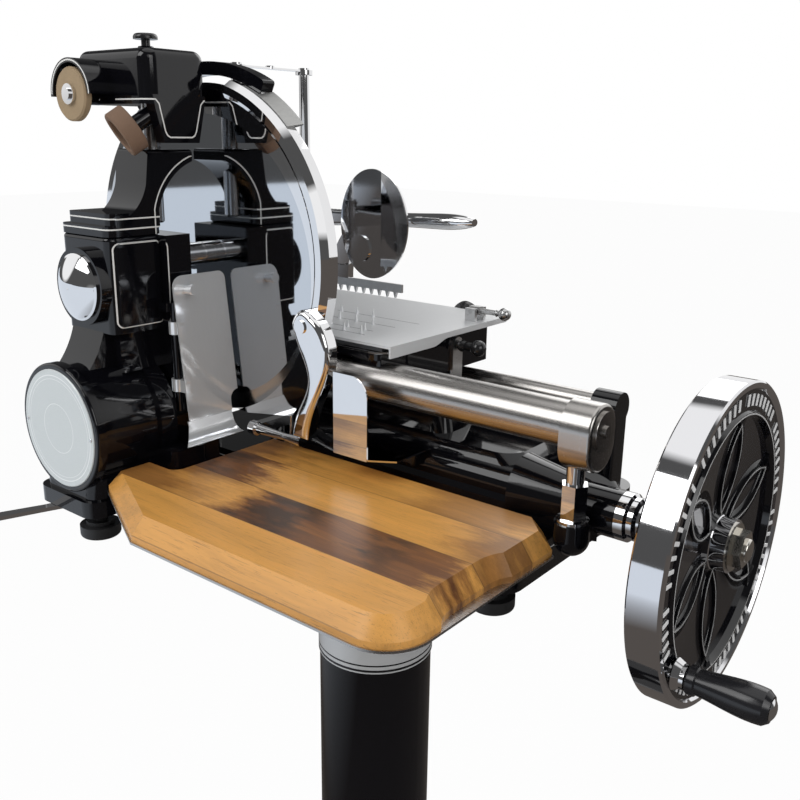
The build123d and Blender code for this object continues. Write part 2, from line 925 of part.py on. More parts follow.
# sheet plane: sketch x runs from the blade towards the operator, sketch y runs down the sheet
defl_plane = Plane(
    origin=point(defl_top_x, defl_near_y, defl_top_z),
    x_dir=(0, -1, 0),
    z_dir=Vector(0, -1, 0).cross(lean),
)
knuckle_r = hinge_d / 2 + 2.5
with BuildPart() as deflector:
    with BuildSketch(defl_plane):
        with BuildLine():
            Line((8, 0), (defl_w - 12, 0))
            RadiusArc((defl_w - 12, 0), (defl_w, 12), -12)
            Line((defl_w, 12), (defl_w, defl_len))
            Line((defl_w, defl_len), (10, defl_len))
            Line((10, defl_len), (10, defl_len - 10))
            RadiusArc((10, defl_len - 10), (0, defl_len - 20), 10)
            Line((0, defl_len - 20), (0, 8))
            RadiusArc((0, 8), (8, 0), -8)
        make_face()
    extrude(amount=defl_t)
    # gutter rolled up at the foot of the sheet, its far end cut on the slant
    with BuildSketch(front(gutter_near_y)):
        with BuildLine():
            gx, gz = defl_low_x, defl_low_z
            Line((gx, gz), (gx + 3, gz - 10))
            RadiusArc((gx + 3, gz - 10), (gx + 18, gz - 19), -15)
            Line((gx + 18, gz - 19), (gx + 19.4, gz - 17.8))
            RadiusArc((gx + 19.4, gz - 17.8), (gx + 4.6, gz - 9), 16)
            Line((gx + 4.6, gz - 9), (gx + 1.6, gz))
            Line((gx + 1.6, gz), (gx, gz))
        make_face()
    extrude(amount=gutter_near_y - gutter_far_y)
    with BuildSketch(plan(gz - 22)):
        with BuildLine():
            Polyline(
                (gx - 4, defl_far_y - 2),
                (gx + 2, defl_far_y - 2),
                (gx + 22, gutter_far_y),
                (gx + 22, gutter_far_y - 4),
                (gx - 4, gutter_far_y - 4),
                close=True,
            )
        make_face()
    extrude(amount=24, mode=Mode.SUBTRACT)
    # two knuckles on the hinge rod
    for knuckle_z in (hinge_top - 30, hinge_low + 20):
        arm_x = defl_top_x + (defl_top_z - knuckle_z) * tan(lean_angle)
        with BuildSketch(plan(knuckle_z, hinge_x, hinge_y)):
            Circle(knuckle_r)
            with Locations(((arm_x - hinge_x) / 2, 0)):
                Rectangle(arm_x - hinge_x + 1, 6)
            Circle(hinge_d / 2 + fit, mode=Mode.SUBTRACT)
        extrude(amount=12)
    # knurled thumb screw near the top
    screw_at = point(defl_top_x, defl_far_y + 15, defl_top_z) + lean * 14
    screw_plane = Plane(origin=screw_at, x_dir=(0, -1, 0), z_dir=defl_plane.z_dir)
    with BuildSketch(screw_plane):
        Circle(4)
    extrude(amount=9)
    with BuildSketch(screw_plane.offset(9)):
        Circle(5)
    extrude(amount=5)
finish(deflector, "deflector")

# ---------------------------------------------------------------- end plate

with BuildPart() as end_plate:
    with BuildSketch(front(end_plate_y)):
        with BuildLine():
            el, er, et, eb = end_plate_left, end_plate_right, end_plate_top, end_plate_foot_z
            Line((el, eb), (er, eb))
            Line((er, eb), (er, et - 20))
            RadiusArc((er, et - 20), (er - 20, et), -20)
            Line((er - 20, et), (el, et))
            Line((el, et), (el, eb))
        make_face()
    extrude(amount=end_plate_t)
    with BuildSketch(plan(end_plate_foot_z)):
        with BuildLine():
            Polyline(
                (el, end_plate_y), (el, 46), (er + 22, 46), (er + 22, end_plate_y + 14),
                (er, end_plate_y), close=True,
            )
        make_face()
    extrude(amount=end_plate_t)
finish(end_plate, "end_plate")

# ---------------------------------------------------------------- rails

tube_r = tube_d / 2
with BuildPart() as rail_tube:
    with BuildSketch(side(tube_left, tube_y, tube_z)):
        Circle(tube_r)
    extrude(amount=tube_right - tube_left)
finish(rail_tube, "rail_tube")

with BuildPart() as rear_rail:
    with BuildSketch(side(base_left + 12, rear_rail_y, rear_rail_z)):
        Circle(rear_rail_d / 2)
    extrude(amount=base_right - base_left - 24)
finish(rear_rail, "rear_rail")

# fitting at the rail's right end, with its cap and screw
end_wall = 3
end_bottom = tube_z - tube_r - end_wall - end_drop
with BuildPart() as rail_end:
    with BuildSketch(side(tube_right, tube_y, tube_z - end_drop / 2)):
        SlotOverall(tube_d + 2 * end_wall + end_drop, tube_d + 2 * end_wall, rotation=90)
    extrude(amount=end_len)
    fillet(rail_end.faces().sort_by(Axis.X)[-1].edges(), 3)
    with BuildSketch(side(tube_right + end_len, tube_y, tube_z)):
        Circle(tube_r - 3)
    extrude(amount=2)
    with BuildSketch(side(tube_right + end_len + 2, tube_y, tube_z)):
        Circle(5)
    extrude(amount=2)
    with BuildSketch(plan(end_bottom, post_x, tube_y)):
        Circle(post_stem_d / 2)
    extrude(amount=4, mode=Mode.SUBTRACT)
finish(rail_end, "rail_end")

# post under the fitting: stem, hexagon and washer
seat_z = cup_top + fit
hex_top = seat_z + washer_t + hex_h
with BuildPart() as rail_post:
    with BuildSketch(plan(seat_z, post_x, tube_y)):
        Circle(washer_d / 2)
    extrude(amount=washer_t)
    with BuildSketch(plan(seat_z + washer_t, post_x, tube_y)):
        RegularPolygon(hex_af / 2, 6, major_radius=False)
    extrude(amount=hex_h)
    with BuildSketch(plan(hex_top, post_x, tube_y)):
        Circle(post_stem_d / 2)
    extrude(amount=end_bottom + 4 - hex_top)
finish(rail_post, "rail_post")

# ---------------------------------------------------------------- flywheel

wheel_r = wheel_d / 2
hub_r = hub_d / 2
web_rim_x = -6          # the web's face at the rim, back from the wheel's face
web_hub_x = -12         # and at the hub: the web is dished
band_out_r = wheel_r - rim_t
band_in_r = band_in_d / 2
petal_mid = (petal_in + petal_out) / 2
petal_half = (petal_out - petal_in) / 2
petal_arc_r = (petal_half ** 2 + (petal_w / 2) ** 2) / petal_w
petal_sink = petal_arc_r - petal_w / 2
petal_sweep = degrees(atan2(petal_half, petal_sink))
petal_tail = 12         # degrees that each arc runs on past the outer tip

crank_y = wheel_y + crank_r * cos(radians(crank_angle))
crank_z = wheel_z + crank_r * sin(radians(crank_angle))

# the flower's ribs, one vesica petal for each sixth of the web
with BuildPart() as petal_ribs:
    with BuildSketch(side(wheel_x + web_hub_x - 3, wheel_y, wheel_z)):
        for k in range(petals):
            for way in (1, -1):
                turned = petal_first + k * 360 / petals
                centre = Vector(petal_mid, -way * petal_sink).rotate(Axis.Z, turned)
                begin = turned + way * (90 + petal_sweep)
                turn = -way * (2 * petal_sweep + petal_tail)
                with BuildLine():
                    outer = CenterArc(centre, petal_arc_r + petal_rib / 2, begin, turn)
                    inner = CenterArc(centre, petal_arc_r - petal_rib / 2, begin, turn)
                    Line(outer @ 0, inner @ 0)
                    Line(outer @ 1, inner @ 1)
                make_face()
    extrude(amount=15)
    with BuildSketch(plan(wheel_z, wheel_x, wheel_y)):
        with BuildLine():
            Polyline(
                (web_hub_x - 3, hub_r - 2),
                (web_hub_x + petal_rise, hub_r - 2),
                (web_rim_x + petal_rise, band_in_r - 3),
                (web_hub_x - 3, band_in_r - 3),
                close=True,
            )
        make_face()
    revolve(axis=x_axis(wheel_y, wheel_z), mode=Mode.INTERSECT)

with BuildPart() as flywheel:
    with BuildSketch(plan(wheel_z, wheel_x, wheel_y)):
        with BuildLine():
            Polyline(
                (-wheel_w, band_out_r),
                (-wheel_w, wheel_r - 1.5),
                (-wheel_w + 1.5, wheel_r),
                (-1.5, wheel_r),
                (0, wheel_r - 1.5),
                (0, band_out_r + 1.5),
                (-2.5, band_out_r),
                (-2.5, band_in_r + 1.5),
                (-0.5, band_in_r),
                (-0.5, band_in_r - 2),
                (web_rim_x, band_in_r - 3.5),
                (web_hub_x, hub_r + 4),
                (web_hub_x + 4, hub_r),
                (hub_front, hub_r),
                (hub_front, drive_d / 2),
                (hub_front - hub_len, drive_d / 2),
                (hub_front - hub_len, hub_r),
                (web_hub_x - web_t, hub_r + 4),
                (web_rim_x - web_t, band_in_r - 1),
                (web_rim_x - web_t, band_out_r),
                close=True,
            )
        make_face()
    revolve(axis=x_axis(wheel_y, wheel_z))
    add(petal_ribs.part)
    # seat of the crank's spindle
    with BuildSketch(side(wheel_x - 8, crank_y, crank_z)):
        Circle(spindle_d / 2)
    extrude(amount=8, mode=Mode.SUBTRACT)
finish(flywheel, "flywheel")

with BuildPart() as wheel_nut:
    with BuildSketch(side(wheel_x + hub_front, wheel_y, wheel_z)):
        Circle(hub_r - 2)
    extrude(amount=2)
    with BuildSketch(side(wheel_x + hub_front + 2, wheel_y, wheel_z)):
        RegularPolygon(nut_d / 2, 6, major_radius=False)
    extrude(amount=8)
    with BuildSketch(side(wheel_x + hub_front + 10, wheel_y, wheel_z)):
        Circle(nut_d / 2 - 4)
    extrude(amount=3)
    fillet(wheel_nut.faces().sort_by(Axis.X)[-1].edges(), 2)
finish(wheel_nut, "wheel_nut")

drive_left = housing_right - 60
with BuildPart() as drive_shaft:
    with BuildSketch(side(drive_left + gap, wheel_y, wheel_z)):
        Circle(drive_d / 2)
    extrude(amount=wheel_x + hub_front - drive_left - gap)
finish(drive_shaft, "drive_shaft")

with BuildPart() as shaft_collar:
    with BuildSketch(plan(wheel_z, housing_right + gap, wheel_y)):
        with BuildLine():
            Polyline(
                (0, drive_d / 2),
                (0, housing_d / 2),
                (collar_len / 3, housing_d / 2),
                (collar_len / 3 + 2, housing_d / 2 - 2.5),
                (collar_len * 0.6, housing_d / 2 - 2.5),
                (collar_len * 0.7, housing_d / 2 - 6),
                (collar_len, drive_d / 2 + 2.5),
                (collar_len, drive_d / 2),
                close=True,
            )
        make_face()
    revolve(axis=x_axis(wheel_y, wheel_z))
finish(shaft_collar, "shaft_collar")

# crank handle: fixed spindle, and the grip that turns on it
grip_at = wheel_x + 9
with BuildPart() as crank_spindle:
    with BuildSketch(plan(crank_z, wheel_x, crank_y)):
        with BuildLine():
            Polyline((-8, 0), (-8, spindle_d / 2), (-2.5, spindle_d / 2), (-2.5, 6.5), (-0.2, 6.5))
            Polyline((-0.2, 6.5), (-0.2, 11), (1, 12), (6, 9.5), (9, 9.5))
            Polyline((9, 9.5), (9, spindle_d / 2), (9 + grip_len + 2 * gap, spindle_d / 2))
            Line((9 + grip_len + 2 * gap, spindle_d / 2), (9 + grip_len + 2 * gap, 8))
            RadiusArc((9 + grip_len + 2 * gap, 8), (12 + grip_len + 2 * gap, 0), cap_radius(8, 3))
            Line((12 + grip_len + 2 * gap, 0), (-8, 0))
        make_face()
    revolve(axis=x_axis(crank_y, crank_z))
finish(crank_spindle, "crank_spindle")

with BuildPart() as crank_grip:
    with BuildSketch(plan(crank_z, grip_at + gap, crank_y)):
        with BuildLine():
            Line((0, spindle_d / 2 + fit), (0, 9))
            Line((0, 9), (2, 11))
            Line((2, 11), (7, 11))
            Line((7, 11), (8, 9.5))
            Spline((8, 9.5), (26, 11.5), (46, grip_d / 2 - 0.5), (grip_len - 4, grip_d / 2 - 1))
            Line((grip_len - 4, grip_d / 2 - 1), (grip_len, grip_d / 2 - 4))
            Line((grip_len, grip_d / 2 - 4), (grip_len, spindle_d / 2 + fit))
            Line((grip_len, spindle_d / 2 + fit), (0, spindle_d / 2 + fit))
        make_face()
    revolve(axis=x_axis(crank_y, crank_z))
finish(crank_grip, "crank_grip")

# ---------------------------------------------------------------- carriage

with BuildPart() as carriage:
    cw = carriage_right - carriage_left
    cd = carriage_back - carriage_low_y
    mid_x = (carriage_left + carriage_right) / 2
    # walls under the top plate
    with BuildSketch(plan(carriage_bottom, mid_x, (carriage_low_y + carriage_back) / 2)):
        RectangleRounded(cw, cd, 6)
        RectangleRounded(cw - 2 * carriage_wall, cd - 2 * carriage_wall, 3, mode=Mode.SUBTRACT)
    extrude(amount=carriage_top - carriage_bottom)
    # cross ribs
    with BuildSketch(plan(carriage_bottom + 8, mid_x, (carriage_low_y + carriage_back) / 2)):
        with GridLocations(cw / 3, 1, 2, 1):
            Rectangle(carriage_wall, cd - 2)
    extrude(amount=carriage_top - carriage_bottom - 8)
    # top plate
    with BuildSketch(plan(carriage_top - carriage_wall, mid_x, (carriage_front + carriage_back) / 2)):
        RectangleRounded(cw, carriage_back - carriage_front, 6)
    extrude(amount=carriage_wall)
    # saddles on the front rail, open towards the blade
    for saddle_x in (carriage_left, carriage_right - saddle_w):
        with BuildSketch(side(saddle_x)):
            with BuildLine():
                Polyline(
                    (carriage_front + 3, carriage_top - 1),
                    (carriage_low_y + 2, carriage_top - 1),
                    (carriage_low_y + 2, tube_z - tube_r + 3),
                    (tube_y + 9, tube_z - tube_r + 3),
                    (tube_y + 9, tube_z),
                    (carriage_front + 3, tube_z + 8),
                    close=True,
                )
            make_face()
            with Locations((tube_y, tube_z)):
                Circle(tube_r + fit, mode=Mode.SUBTRACT)
        extrude(amount=saddle_w)
    # saddle on the rear rail, open below
    with BuildSketch(side(rear_saddle_x)):
        with BuildLine():
            Polyline(
                (rear_rail_y - 16, carriage_top - 1),
                (rear_rail_y + 16, carriage_top - 1),
                (rear_rail_y + 16, rear_rail_z),
                (rear_rail_y - 16, rear_rail_z),
                close=True,
            )
        make_face()
        with Locations((rear_rail_y, rear_rail_z)):
            Circle(rear_rail_d / 2 + fit, mode=Mode.SUBTRACT)
    extrude(amount=saddle_w)
finish(carriage, "carriage")

with BuildPart() as front_shelf:
    with BuildSketch(plan(carriage_top)):
        with BuildLine():
            Polyline(
                (carriage_left, carriage_front),
                (carriage_right - 6, carriage_front),
                (carriage_right + 3, carriage_front + 9),
                (carriage_right + 3, carriage_front + 28),
                (carriage_left, carriage_front + 28),
                close=True,
            )
        make_face()
    extrude(amount=shelf_t)
finish(front_shelf, "front_shelf")

# strap on the carriage's right wall, with the sprung lock knob
with BuildPart() as lock_strap:
    with BuildSketch(side(carriage_right, lock_y, lock_z)):
        with BuildLine():
            Line((-8, 0), (-8, -42))
            Line((-8, -42), (8, -42))
            Line((8, -42), (8, 0))
            RadiusArc((8, 0), (-8, 0), -8)
        make_face()
        Circle(lock_stud_d / 2 + fit, mode=Mode.SUBTRACT)
    extrude(amount=3)
finish(lock_strap, "lock_strap")

with BuildPart() as lock_knob:
    with BuildSketch(plan(lock_z, carriage_right + gap, lock_y)):
        with BuildLine():
            r = lock_stud_d / 2
            Polyline((0, 0), (0, r), (5, r), (5, 5), (8, 6), (12, 4.5), (20, 4.5))
            ball = ball_end(20, 4.5, lock_ball_r)
            ThreePointArc(*ball)
            Line(ball[2], (0, 0))
        make_face()
    revolve(axis=x_axis(lock_y, lock_z))
finish(lock_knob, "lock_knob")

# ---------------------------------------------------------------- meat table

with BuildPart() as table:
    with BuildSketch(plan(table_z - table_t)):
        with BuildLine():
            Polyline(
                (table_left, table_front),
                (table_right, table_front),
                (table_right, table_back - 6),
                (table_right - 6, table_back),
                (table_left + 6, table_back),
                (table_left, table_back - 6),
                close=True,
            )
        make_face()
    extrude(amount=table_t)
    # flange on the right edge, deep in front and shallow behind
    with BuildSketch(side(table_right - 2)):
        with BuildLine():
            Polyline(
                (wave_y, table_z - flange_h),
                (table_front, table_z - flange_h),
                (table_front, table_z),
                (table_back - 6, table_z),
                (table_back - 6, table_z - flange_h / 2),
                (wave_y + 26, table_z - flange_h / 2),
            )
            Spline(
                (wave_y + 26, table_z - flange_h / 2),
                (wave_y, table_z - flange_h),
                tangents=((-1, 0), (-1, 0)),
            )
        make_face()
    extrude(amount=2)
    # runners that slide on the carriage
    with BuildSketch(plan(carriage_top + fit)):
        with Locations((runner_x, runner_y), (runner_x + runner_pitch, runner_y)):
            Rectangle(14, 136)
    extrude(amount=table_z - table_t - carriage_top)
    # spikes that hold the meat
    for row, (spike_x, spike_y) in enumerate(spike_rows):
        for k in range(3):
            with Locations(point(spike_x + k * spike_pitch, spike_y, table_z - 0.5)):
                Cone(spike_d / 2, 0.4, spike_h, align=(Align.CENTER, Align.CENTER, Align.MIN))
finish(table, "table")

with BuildPart() as table_edge:
    with BuildSketch(plan(table_z - table_t - 3.5)):
        with Locations(((table_left + table_right) / 2 - 4, table_front + 4)):
            Rectangle(table_right - table_left - 12, 8)
    extrude(amount=3.5)
finish(table_edge, "table_edge")

# small lever behind the flange, and the feed knob at the back
with BuildPart() as table_lever:
    with BuildSketch(side(lever_pivot_x - 6, lever_pivot_y, lever_pivot_z)):
        RectangleRounded(8, 8, 2)
    extrude(amount=12)
    with BuildSketch(plan(lever_pivot_z, lever_pivot_x, lever_pivot_y)):
        with BuildLine():
            Polyline((4, 0), (4, 3), (24, 2.6), (26, 3.6), (27, 2.6), (29, 2.6))
            ball = ball_end(29, 2.6, lever_ball_r)
            ThreePointArc(*ball)
            Line(ball[2], (4, 0))
        make_face()
    revolve(axis=x_axis(lever_pivot_y, lever_pivot_z))
    with BuildSketch(front(lever_pivot_y + 10, lever_pivot_x, lever_pivot_z)):
        Circle(2.5)
    extrude(amount=20)
finish(table_lever, "table_lever")

with BuildPart() as lever_bracket:
    with BuildSketch(plan(table_z, lever_pivot_x, lever_pivot_y)):
        with Locations((0, -8), (0, 8)):
            Rectangle(12, 4)
    extrude(amount=13)
    with BuildSketch(front(lever_pivot_y + 12, lever_pivot_x, lever_pivot_z)):
        Circle(2.5 + fit)
    extrude(amount=24, mode=Mode.SUBTRACT)
finish(lever_bracket, "lever_bracket")

with BuildPart() as feed_knob:
    with BuildSketch(plan(feed_z, feed_x, table_back)):
        with BuildLine():
            Polyline((0, -22), (4, -22), (4, 3), (9, 3), (9, 6), (15, 9), (16, 14), (14, 19))
            RadiusArc((14, 19), (0, 22), -cap_radius(14, 3))
            Line((0, 22), (0, -22))
        make_face()
    revolve(axis=y_axis(feed_x, feed_z))
finish(feed_knob, "feed_knob")

with BuildPart() as feed_bearing:
    with BuildSketch(front(table_back - 2, feed_x)):
        with BuildLine():
            Polyline((-12, table_z - table_t), (12, table_z - table_t), (12, feed_z), close=False)
            RadiusArc((12, feed_z), (-12, feed_z), 12)
            Line((-12, feed_z), (-12, table_z - table_t))
        make_face()
        with Locations((0, feed_z)):
            Circle(4 + fit, mode=Mode.SUBTRACT)
    extrude(amount=18)
finish(feed_bearing, "feed_bearing")

# ---------------------------------------------------------------- meat press

press_far_y = press_post_y + press_post_gap
with BuildPart() as press_posts:
    for post_y in (press_post_y, press_far_y):
        with BuildSketch(plan(table_z, press_post_x, post_y)):
            Circle(post_d)
        extrude(amount=4)
        with BuildSketch(plan(table_z, press_post_x, post_y)):
            Circle(post_d / 2)
        extrude(amount=press_top - table_z)
        with BuildSketch(plan(press_top - 7, press_post_x, post_y)):
            Circle(post_d / 2 + 3.5)
        extrude(amount=5)
    with BuildSketch(plan(press_top - 4, press_post_x, (press_post_y + press_far_y) / 2)):
        SlotOverall(press_post_gap + post_d + 4, 7, rotation=90)
    extrude(amount=2)
    with Locations(point(press_post_x, press_y, press_top - 2)):
        Cylinder(4.5, 3, align=(Align.CENTER, Align.CENTER, Align.CENTER))
finish(press_posts, "press_posts")

sleeve_r = post_d / 2 + 5
with BuildPart() as press_arm:
    # sleeves on the two posts, joined by a bridge
    with BuildSketch(plan(press_z - 20, press_post_x)):
        with Locations((0, press_post_y), (0, press_far_y)):
            Circle(sleeve_r)
    extrude(amount=40)
    with BuildSketch(side(press_post_x - 5, press_y, press_z)):
        RectangleRounded(press_post_gap, 24, 6)
    extrude(amount=10)
    # arm out to the shield
    with BuildSketch(side(press_post_x, press_y, press_z + 10)):
        RectangleRounded(11, 20, 4)
    with BuildSketch(side(shield_x - 30, press_y, press_z + 14)):
        RectangleRounded(9, 15, 4)
    loft()
    # handle: flattened, swelling towards its round end
    handle_start = shield_x - 32
    for k, (half_y, half_z) in enumerate(handle_sections):
        along = k / (len(handle_sections) - 1)
        handle_x = handle_start + along * (handle_end - handle_start)
        with BuildSketch(side(handle_x, press_y, press_z + 14 + 5 * along)):
            Ellipse(half_y, half_z)
    loft()
    # stem down to the jaw
    with BuildSketch(front(press_y + 4)):
        with BuildLine():
            Line((jaw_left + 4, jaw_top), (jaw_left + 4, jaw_top + 14))
            RadiusArc((jaw_left + 4, jaw_top + 14), (jaw_left + 34, press_z + 10), 60)
            Line((jaw_left + 34, press_z + 10), (jaw_left + 52, press_z + 10))
            RadiusArc((jaw_left + 52, press_z + 10), (jaw_left + 26, jaw_top), -70)
            Line((jaw_left + 26, jaw_top), (jaw_left + 4, jaw_top))
        make_face()
    extrude(amount=8)
    with BuildSketch(plan(press_z - 21, press_post_x)):
        with Locations((0, press_post_y), (0, press_far_y)):
            Circle(post_d / 2 + fit)
    extrude(amount=42, mode=Mode.SUBTRACT)
finish(press_arm, "press_arm")

with BuildPart() as press_jaw:
    with BuildSketch(front(press_y + 1.5)):
        with BuildLine():
            pitch = (jaw_right - jaw_left) / jaw_teeth
            edge = [(jaw_right, jaw_top), (jaw_left, jaw_top)]
            for k in range(jaw_teeth):
                edge.append((jaw_left + k * pitch, jaw_top - 8))
                edge.append((jaw_left + (k + 0.2) * pitch, jaw_bottom))
                edge.append((jaw_left + (k + 0.4) * pitch, jaw_top - 8))
            Polyline(*edge, (jaw_right, jaw_top - 8), close=True)
        make_face()
    extrude(amount=3)
finish(press_jaw, "press_jaw")

shield_y = press_y - 15
fold_run = shield_w / 2 - fold_x
with BuildPart() as press_shield:
    # folded sheet, cut to an oval
    with BuildSketch(plan(shield_z - shield_h / 2, shield_x, shield_y)):
        with BuildLine():
            Polyline(
                (-shield_w / 2, 0),
                (-shield_w / 2, -shield_t),
                (fold_x, -shield_t),
                (shield_w / 2, fold_run * tan(radians(fold_angle)) - shield_t),
                (shield_w / 2, fold_run * tan(radians(fold_angle))),
                (fold_x, 0),
                close=True,
            )
        make_face()
    extrude(amount=shield_h)
    with BuildSketch(front(shield_y + 20, shield_x, shield_z)):
        Ellipse(shield_w / 2 - 0.2, shield_h / 2 - 0.2)
    extrude(amount=40, mode=Mode.INTERSECT)
    # round boss and the stub that fixes the shield to the handle
    with BuildSketch(front(shield_y - shield_t + 0.5, shield_x - 14, shield_z - 24)):
        Circle(13)
    extrude(amount=2.5)
    with BuildSketch(front(press_y - 7.2, shield_x - 12, press_z + 14)):
        Circle(5)
    extrude(amount=press_y - 7.2 - shield_y + 0.5)
finish(press_shield, "press_shield")

# ---------------------------------------------------------------- board and tray

board_bottom = board_top - board_t
board_edge = [
    (board_notch_x, board_notch_y),
    (board_left, board_notch_y),
    (board_left, board_front + 52),
    (board_left + 108, board_front),
    (board_right, board_front),
    (board_right, board_back - 26),
    (board_right - 24, board_back),
    (board_notch_x, board_back),
]
edge_h = 5
bevel_angle = degrees(atan2(board_bevel, board_t - edge_h))

with BuildPart() as board:
    # straight edge below, bevel above
    bevel_bottom = board_bottom + edge_h
    for level, height, lean_in in ((board_bottom, edge_h, 0), (bevel_bottom, board_t - edge_h, bevel_angle)):
        with BuildSketch(plan(level)) as board_plan:
            with BuildLine():
                Polyline(*board_edge, close=True)
            make_face()
            fillet(board_plan.vertices().group_by(Axis.Y)[0].sort_by(Axis.X)[-1], board_corner)
            with Locations((board_right + 30, (board_front + board_back) / 2 - 17)):
                SlotOverall(120, 74, rotation=90, mode=Mode.SUBTRACT)
        extrude(amount=height, taper=lean_in)
finish(board, "board")

with BuildPart() as tray:
    with BuildSketch(plan(board_bottom - tray_t)) as tray_plan:
        with BuildLine():
            Polyline(*board_edge, close=True)
        make_face()
        fillet(tray_plan.vertices().group_by(Axis.Y)[0].sort_by(Axis.X)[-1], board_corner)
        offset(amount=tray_rim)
    extrude(amount=tray_t)
finish(tray, "tray")

# ---------------------------------------------------------------- sharpener

post_low = col_top + 8
with BuildPart() as sharpener_post:
    with BuildSketch(plan(post_low, swivel_x, swivel_y)):
        Circle(post_rod_d / 2)
    extrude(amount=head_low - post_low)
    chamfer(sharpener_post.edges().group_by(Axis.Z)[0], 1.5)
finish(sharpener_post, "sharpener_post")

cup_axis = Vector(-0.35, -0.75, -0.55).normalized()
cup_centre = point(cup_stone_x, cup_stone_y, cup_stone_z)


def cup_plane(along):
    """Plane across the cup stone's axis, its distance from the stone's middle along the axis."""
    return Plane(origin=cup_centre + cup_axis * along, z_dir=cup_axis)


stone_r = stone_d / 2
stone_pin_d = 8
stone_back = stone_y + stone_t / 2
head_w = head_right - head_left
head_d = head_back - head_front
with BuildPart() as sharpener_head:
    with BuildSketch(plan(head_low, (head_left + head_right) / 2, (head_front + head_back) / 2)):
        RectangleRounded(head_w, head_d, 12)
    extrude(amount=head_top - head_low)
    fillet(sharpener_head.edges().group_by(Axis.Z)[-1], 9)
    # skirt on the flywheel side
    with BuildSketch(side(head_right - 12)):
        with BuildLine():
            Polyline(
                (head_front + 6, head_low + 8),
                (head_front + 8, head_low - 4),
                (head_front + 16, skirt_low),
                (head_back - 13, skirt_low),
                (head_back - 6, head_low - 4),
                (head_back - 4, head_low + 8),
                close=True,
            )
        make_face()
    extrude(amount=12)
    # hood over the stone
    with BuildSketch(front(head_front + 10, stone_x, stone_z)):
        with BuildLine():
            Line((-stone_r - 3.5, -2), (-stone_r - 7.5, -2))
            Line((-stone_r - 7.5, -2), (-stone_r - 7.5, 0))
            RadiusArc((-stone_r - 7.5, 0), (stone_r + 7.5, 0), stone_r + 7.5)
            Line((stone_r + 7.5, 0), (stone_r + 3.5, 0))
            RadiusArc((stone_r + 3.5, 0), (-stone_r - 3.5, 0), -stone_r - 3.5)
            Line((-stone_r - 3.5, 0), (-stone_r - 3.5, -2))
        make_face()
    extrude(amount=head_front + 10 - stone_back + stone_t)
    # boss and pin of the stone
    with BuildSketch(front(head_front + 4, stone_x, stone_z)):
        Circle(9)
    extrude(amount=head_front + 4 - stone_back - gap)
    with BuildSketch(front(head_front + 4, stone_x, stone_z)):
        Circle(stone_pin_d / 2)
    extrude(amount=head_front + 4 - stone_back + stone_t + gap)
    # boss and pin of the cup stone
    with BuildSketch(cup_plane(-46)):
        Circle(7.5)
    extrude(amount=46 - cup_stone_h / 2 - gap)
    with BuildSketch(cup_plane(-46)):
        Circle(stone_pin_d / 2)
    extrude(amount=46 - cup_stone_h / 2 + 6 + gap)
    # flared collar of the knob, and its bore
    with BuildSketch(plan(head_top - 1, swivel_x, swivel_y)):
        Circle(10)
    with BuildSketch(plan(head_top + 4, swivel_x, swivel_y)):
        Circle(6.5)
    loft()
    with BuildSketch(plan(head_top + 5, swivel_x, swivel_y)):
        Circle(4 + fit)
    extrude(amount=-30, mode=Mode.SUBTRACT)
finish(sharpener_head, "sharpener_head")

with BuildPart() as grind_stone:
    with BuildSketch(plan(stone_z, stone_x)):
        with BuildLine():
            Polyline(
                (stone_pin_d / 2 + fit, stone_back),
                (stone_r - 1.5, stone_back),
                (stone_r, stone_back - 1.5),
                (stone_r, stone_back - stone_t + 1.5),
                (stone_r - 1.5, stone_back - stone_t),
                (stone_pin_d / 2 + fit, stone_back - stone_t),
                close=True,
            )
        make_face()
    revolve(axis=y_axis(stone_x, stone_z))
finish(grind_stone, "grind_stone")

with BuildPart() as cup_stone:
    with BuildSketch(cup_plane(-cup_stone_h / 2)):
        Circle(cup_stone_d / 2)
        Circle(stone_pin_d / 2 + fit, mode=Mode.SUBTRACT)
    extrude(amount=cup_stone_h)
    with BuildSketch(cup_plane(-cup_stone_h / 2 + 6)):
        Circle(cup_stone_d / 2 - 6)
    extrude(amount=cup_stone_h, mode=Mode.SUBTRACT)
    chamfer(cup_stone.edges().filter_by(lambda e: e.geom_type == GeomType.CIRCLE and e.radius > 10), 1)
finish(cup_stone, "cup_stone")

with BuildPart() as stone_screws:
    with BuildSketch(front(stone_back - stone_t - gap, stone_x, stone_z)):
        Circle(stone_pin_d / 2 + 5)
    extrude(amount=2.5)
    with BuildSketch(front(stone_back - stone_t - gap - 2.5, stone_x, stone_z)):
        Circle(stone_pin_d / 2 + 1.5)
    extrude(amount=2)
    with BuildSketch(cup_plane(-cup_stone_h / 2 + 6 + gap)):
        Circle(stone_pin_d / 2 + 5)
    extrude(amount=2.5)
    with BuildSketch(cup_plane(-cup_stone_h / 2 + 8.5 + gap)):
        Circle(stone_pin_d / 2 + 1.5)
    extrude(amount=3)
finish(stone_screws, "stone_screws")

with BuildPart() as push_knob:
    with BuildSketch(plan(head_top, swivel_x, swivel_y)):
        Circle(4)
    extrude(amount=knob_top - head_top - 2)
    with BuildSketch(plan(head_top, swivel_x, swivel_y)):
        Circle(4)
    extrude(amount=-16)
    with BuildSketch(plan(knob_top - 5, swivel_x, swivel_y)):
        Circle(11)
    extrude(amount=5)
    fillet(push_knob.faces().sort_by(Axis.Z)[-1].edges(), 3.5)
finish(push_knob, "push_knob")
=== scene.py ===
"""Dresses a hand crank meat slicer: its enamel, chrome, steel, wood and small trim."""

import math

import bmesh
import bpy
from bpy.props import FloatProperty, FloatVectorProperty, IntProperty, PointerProperty
from mathutils import Matrix, Vector


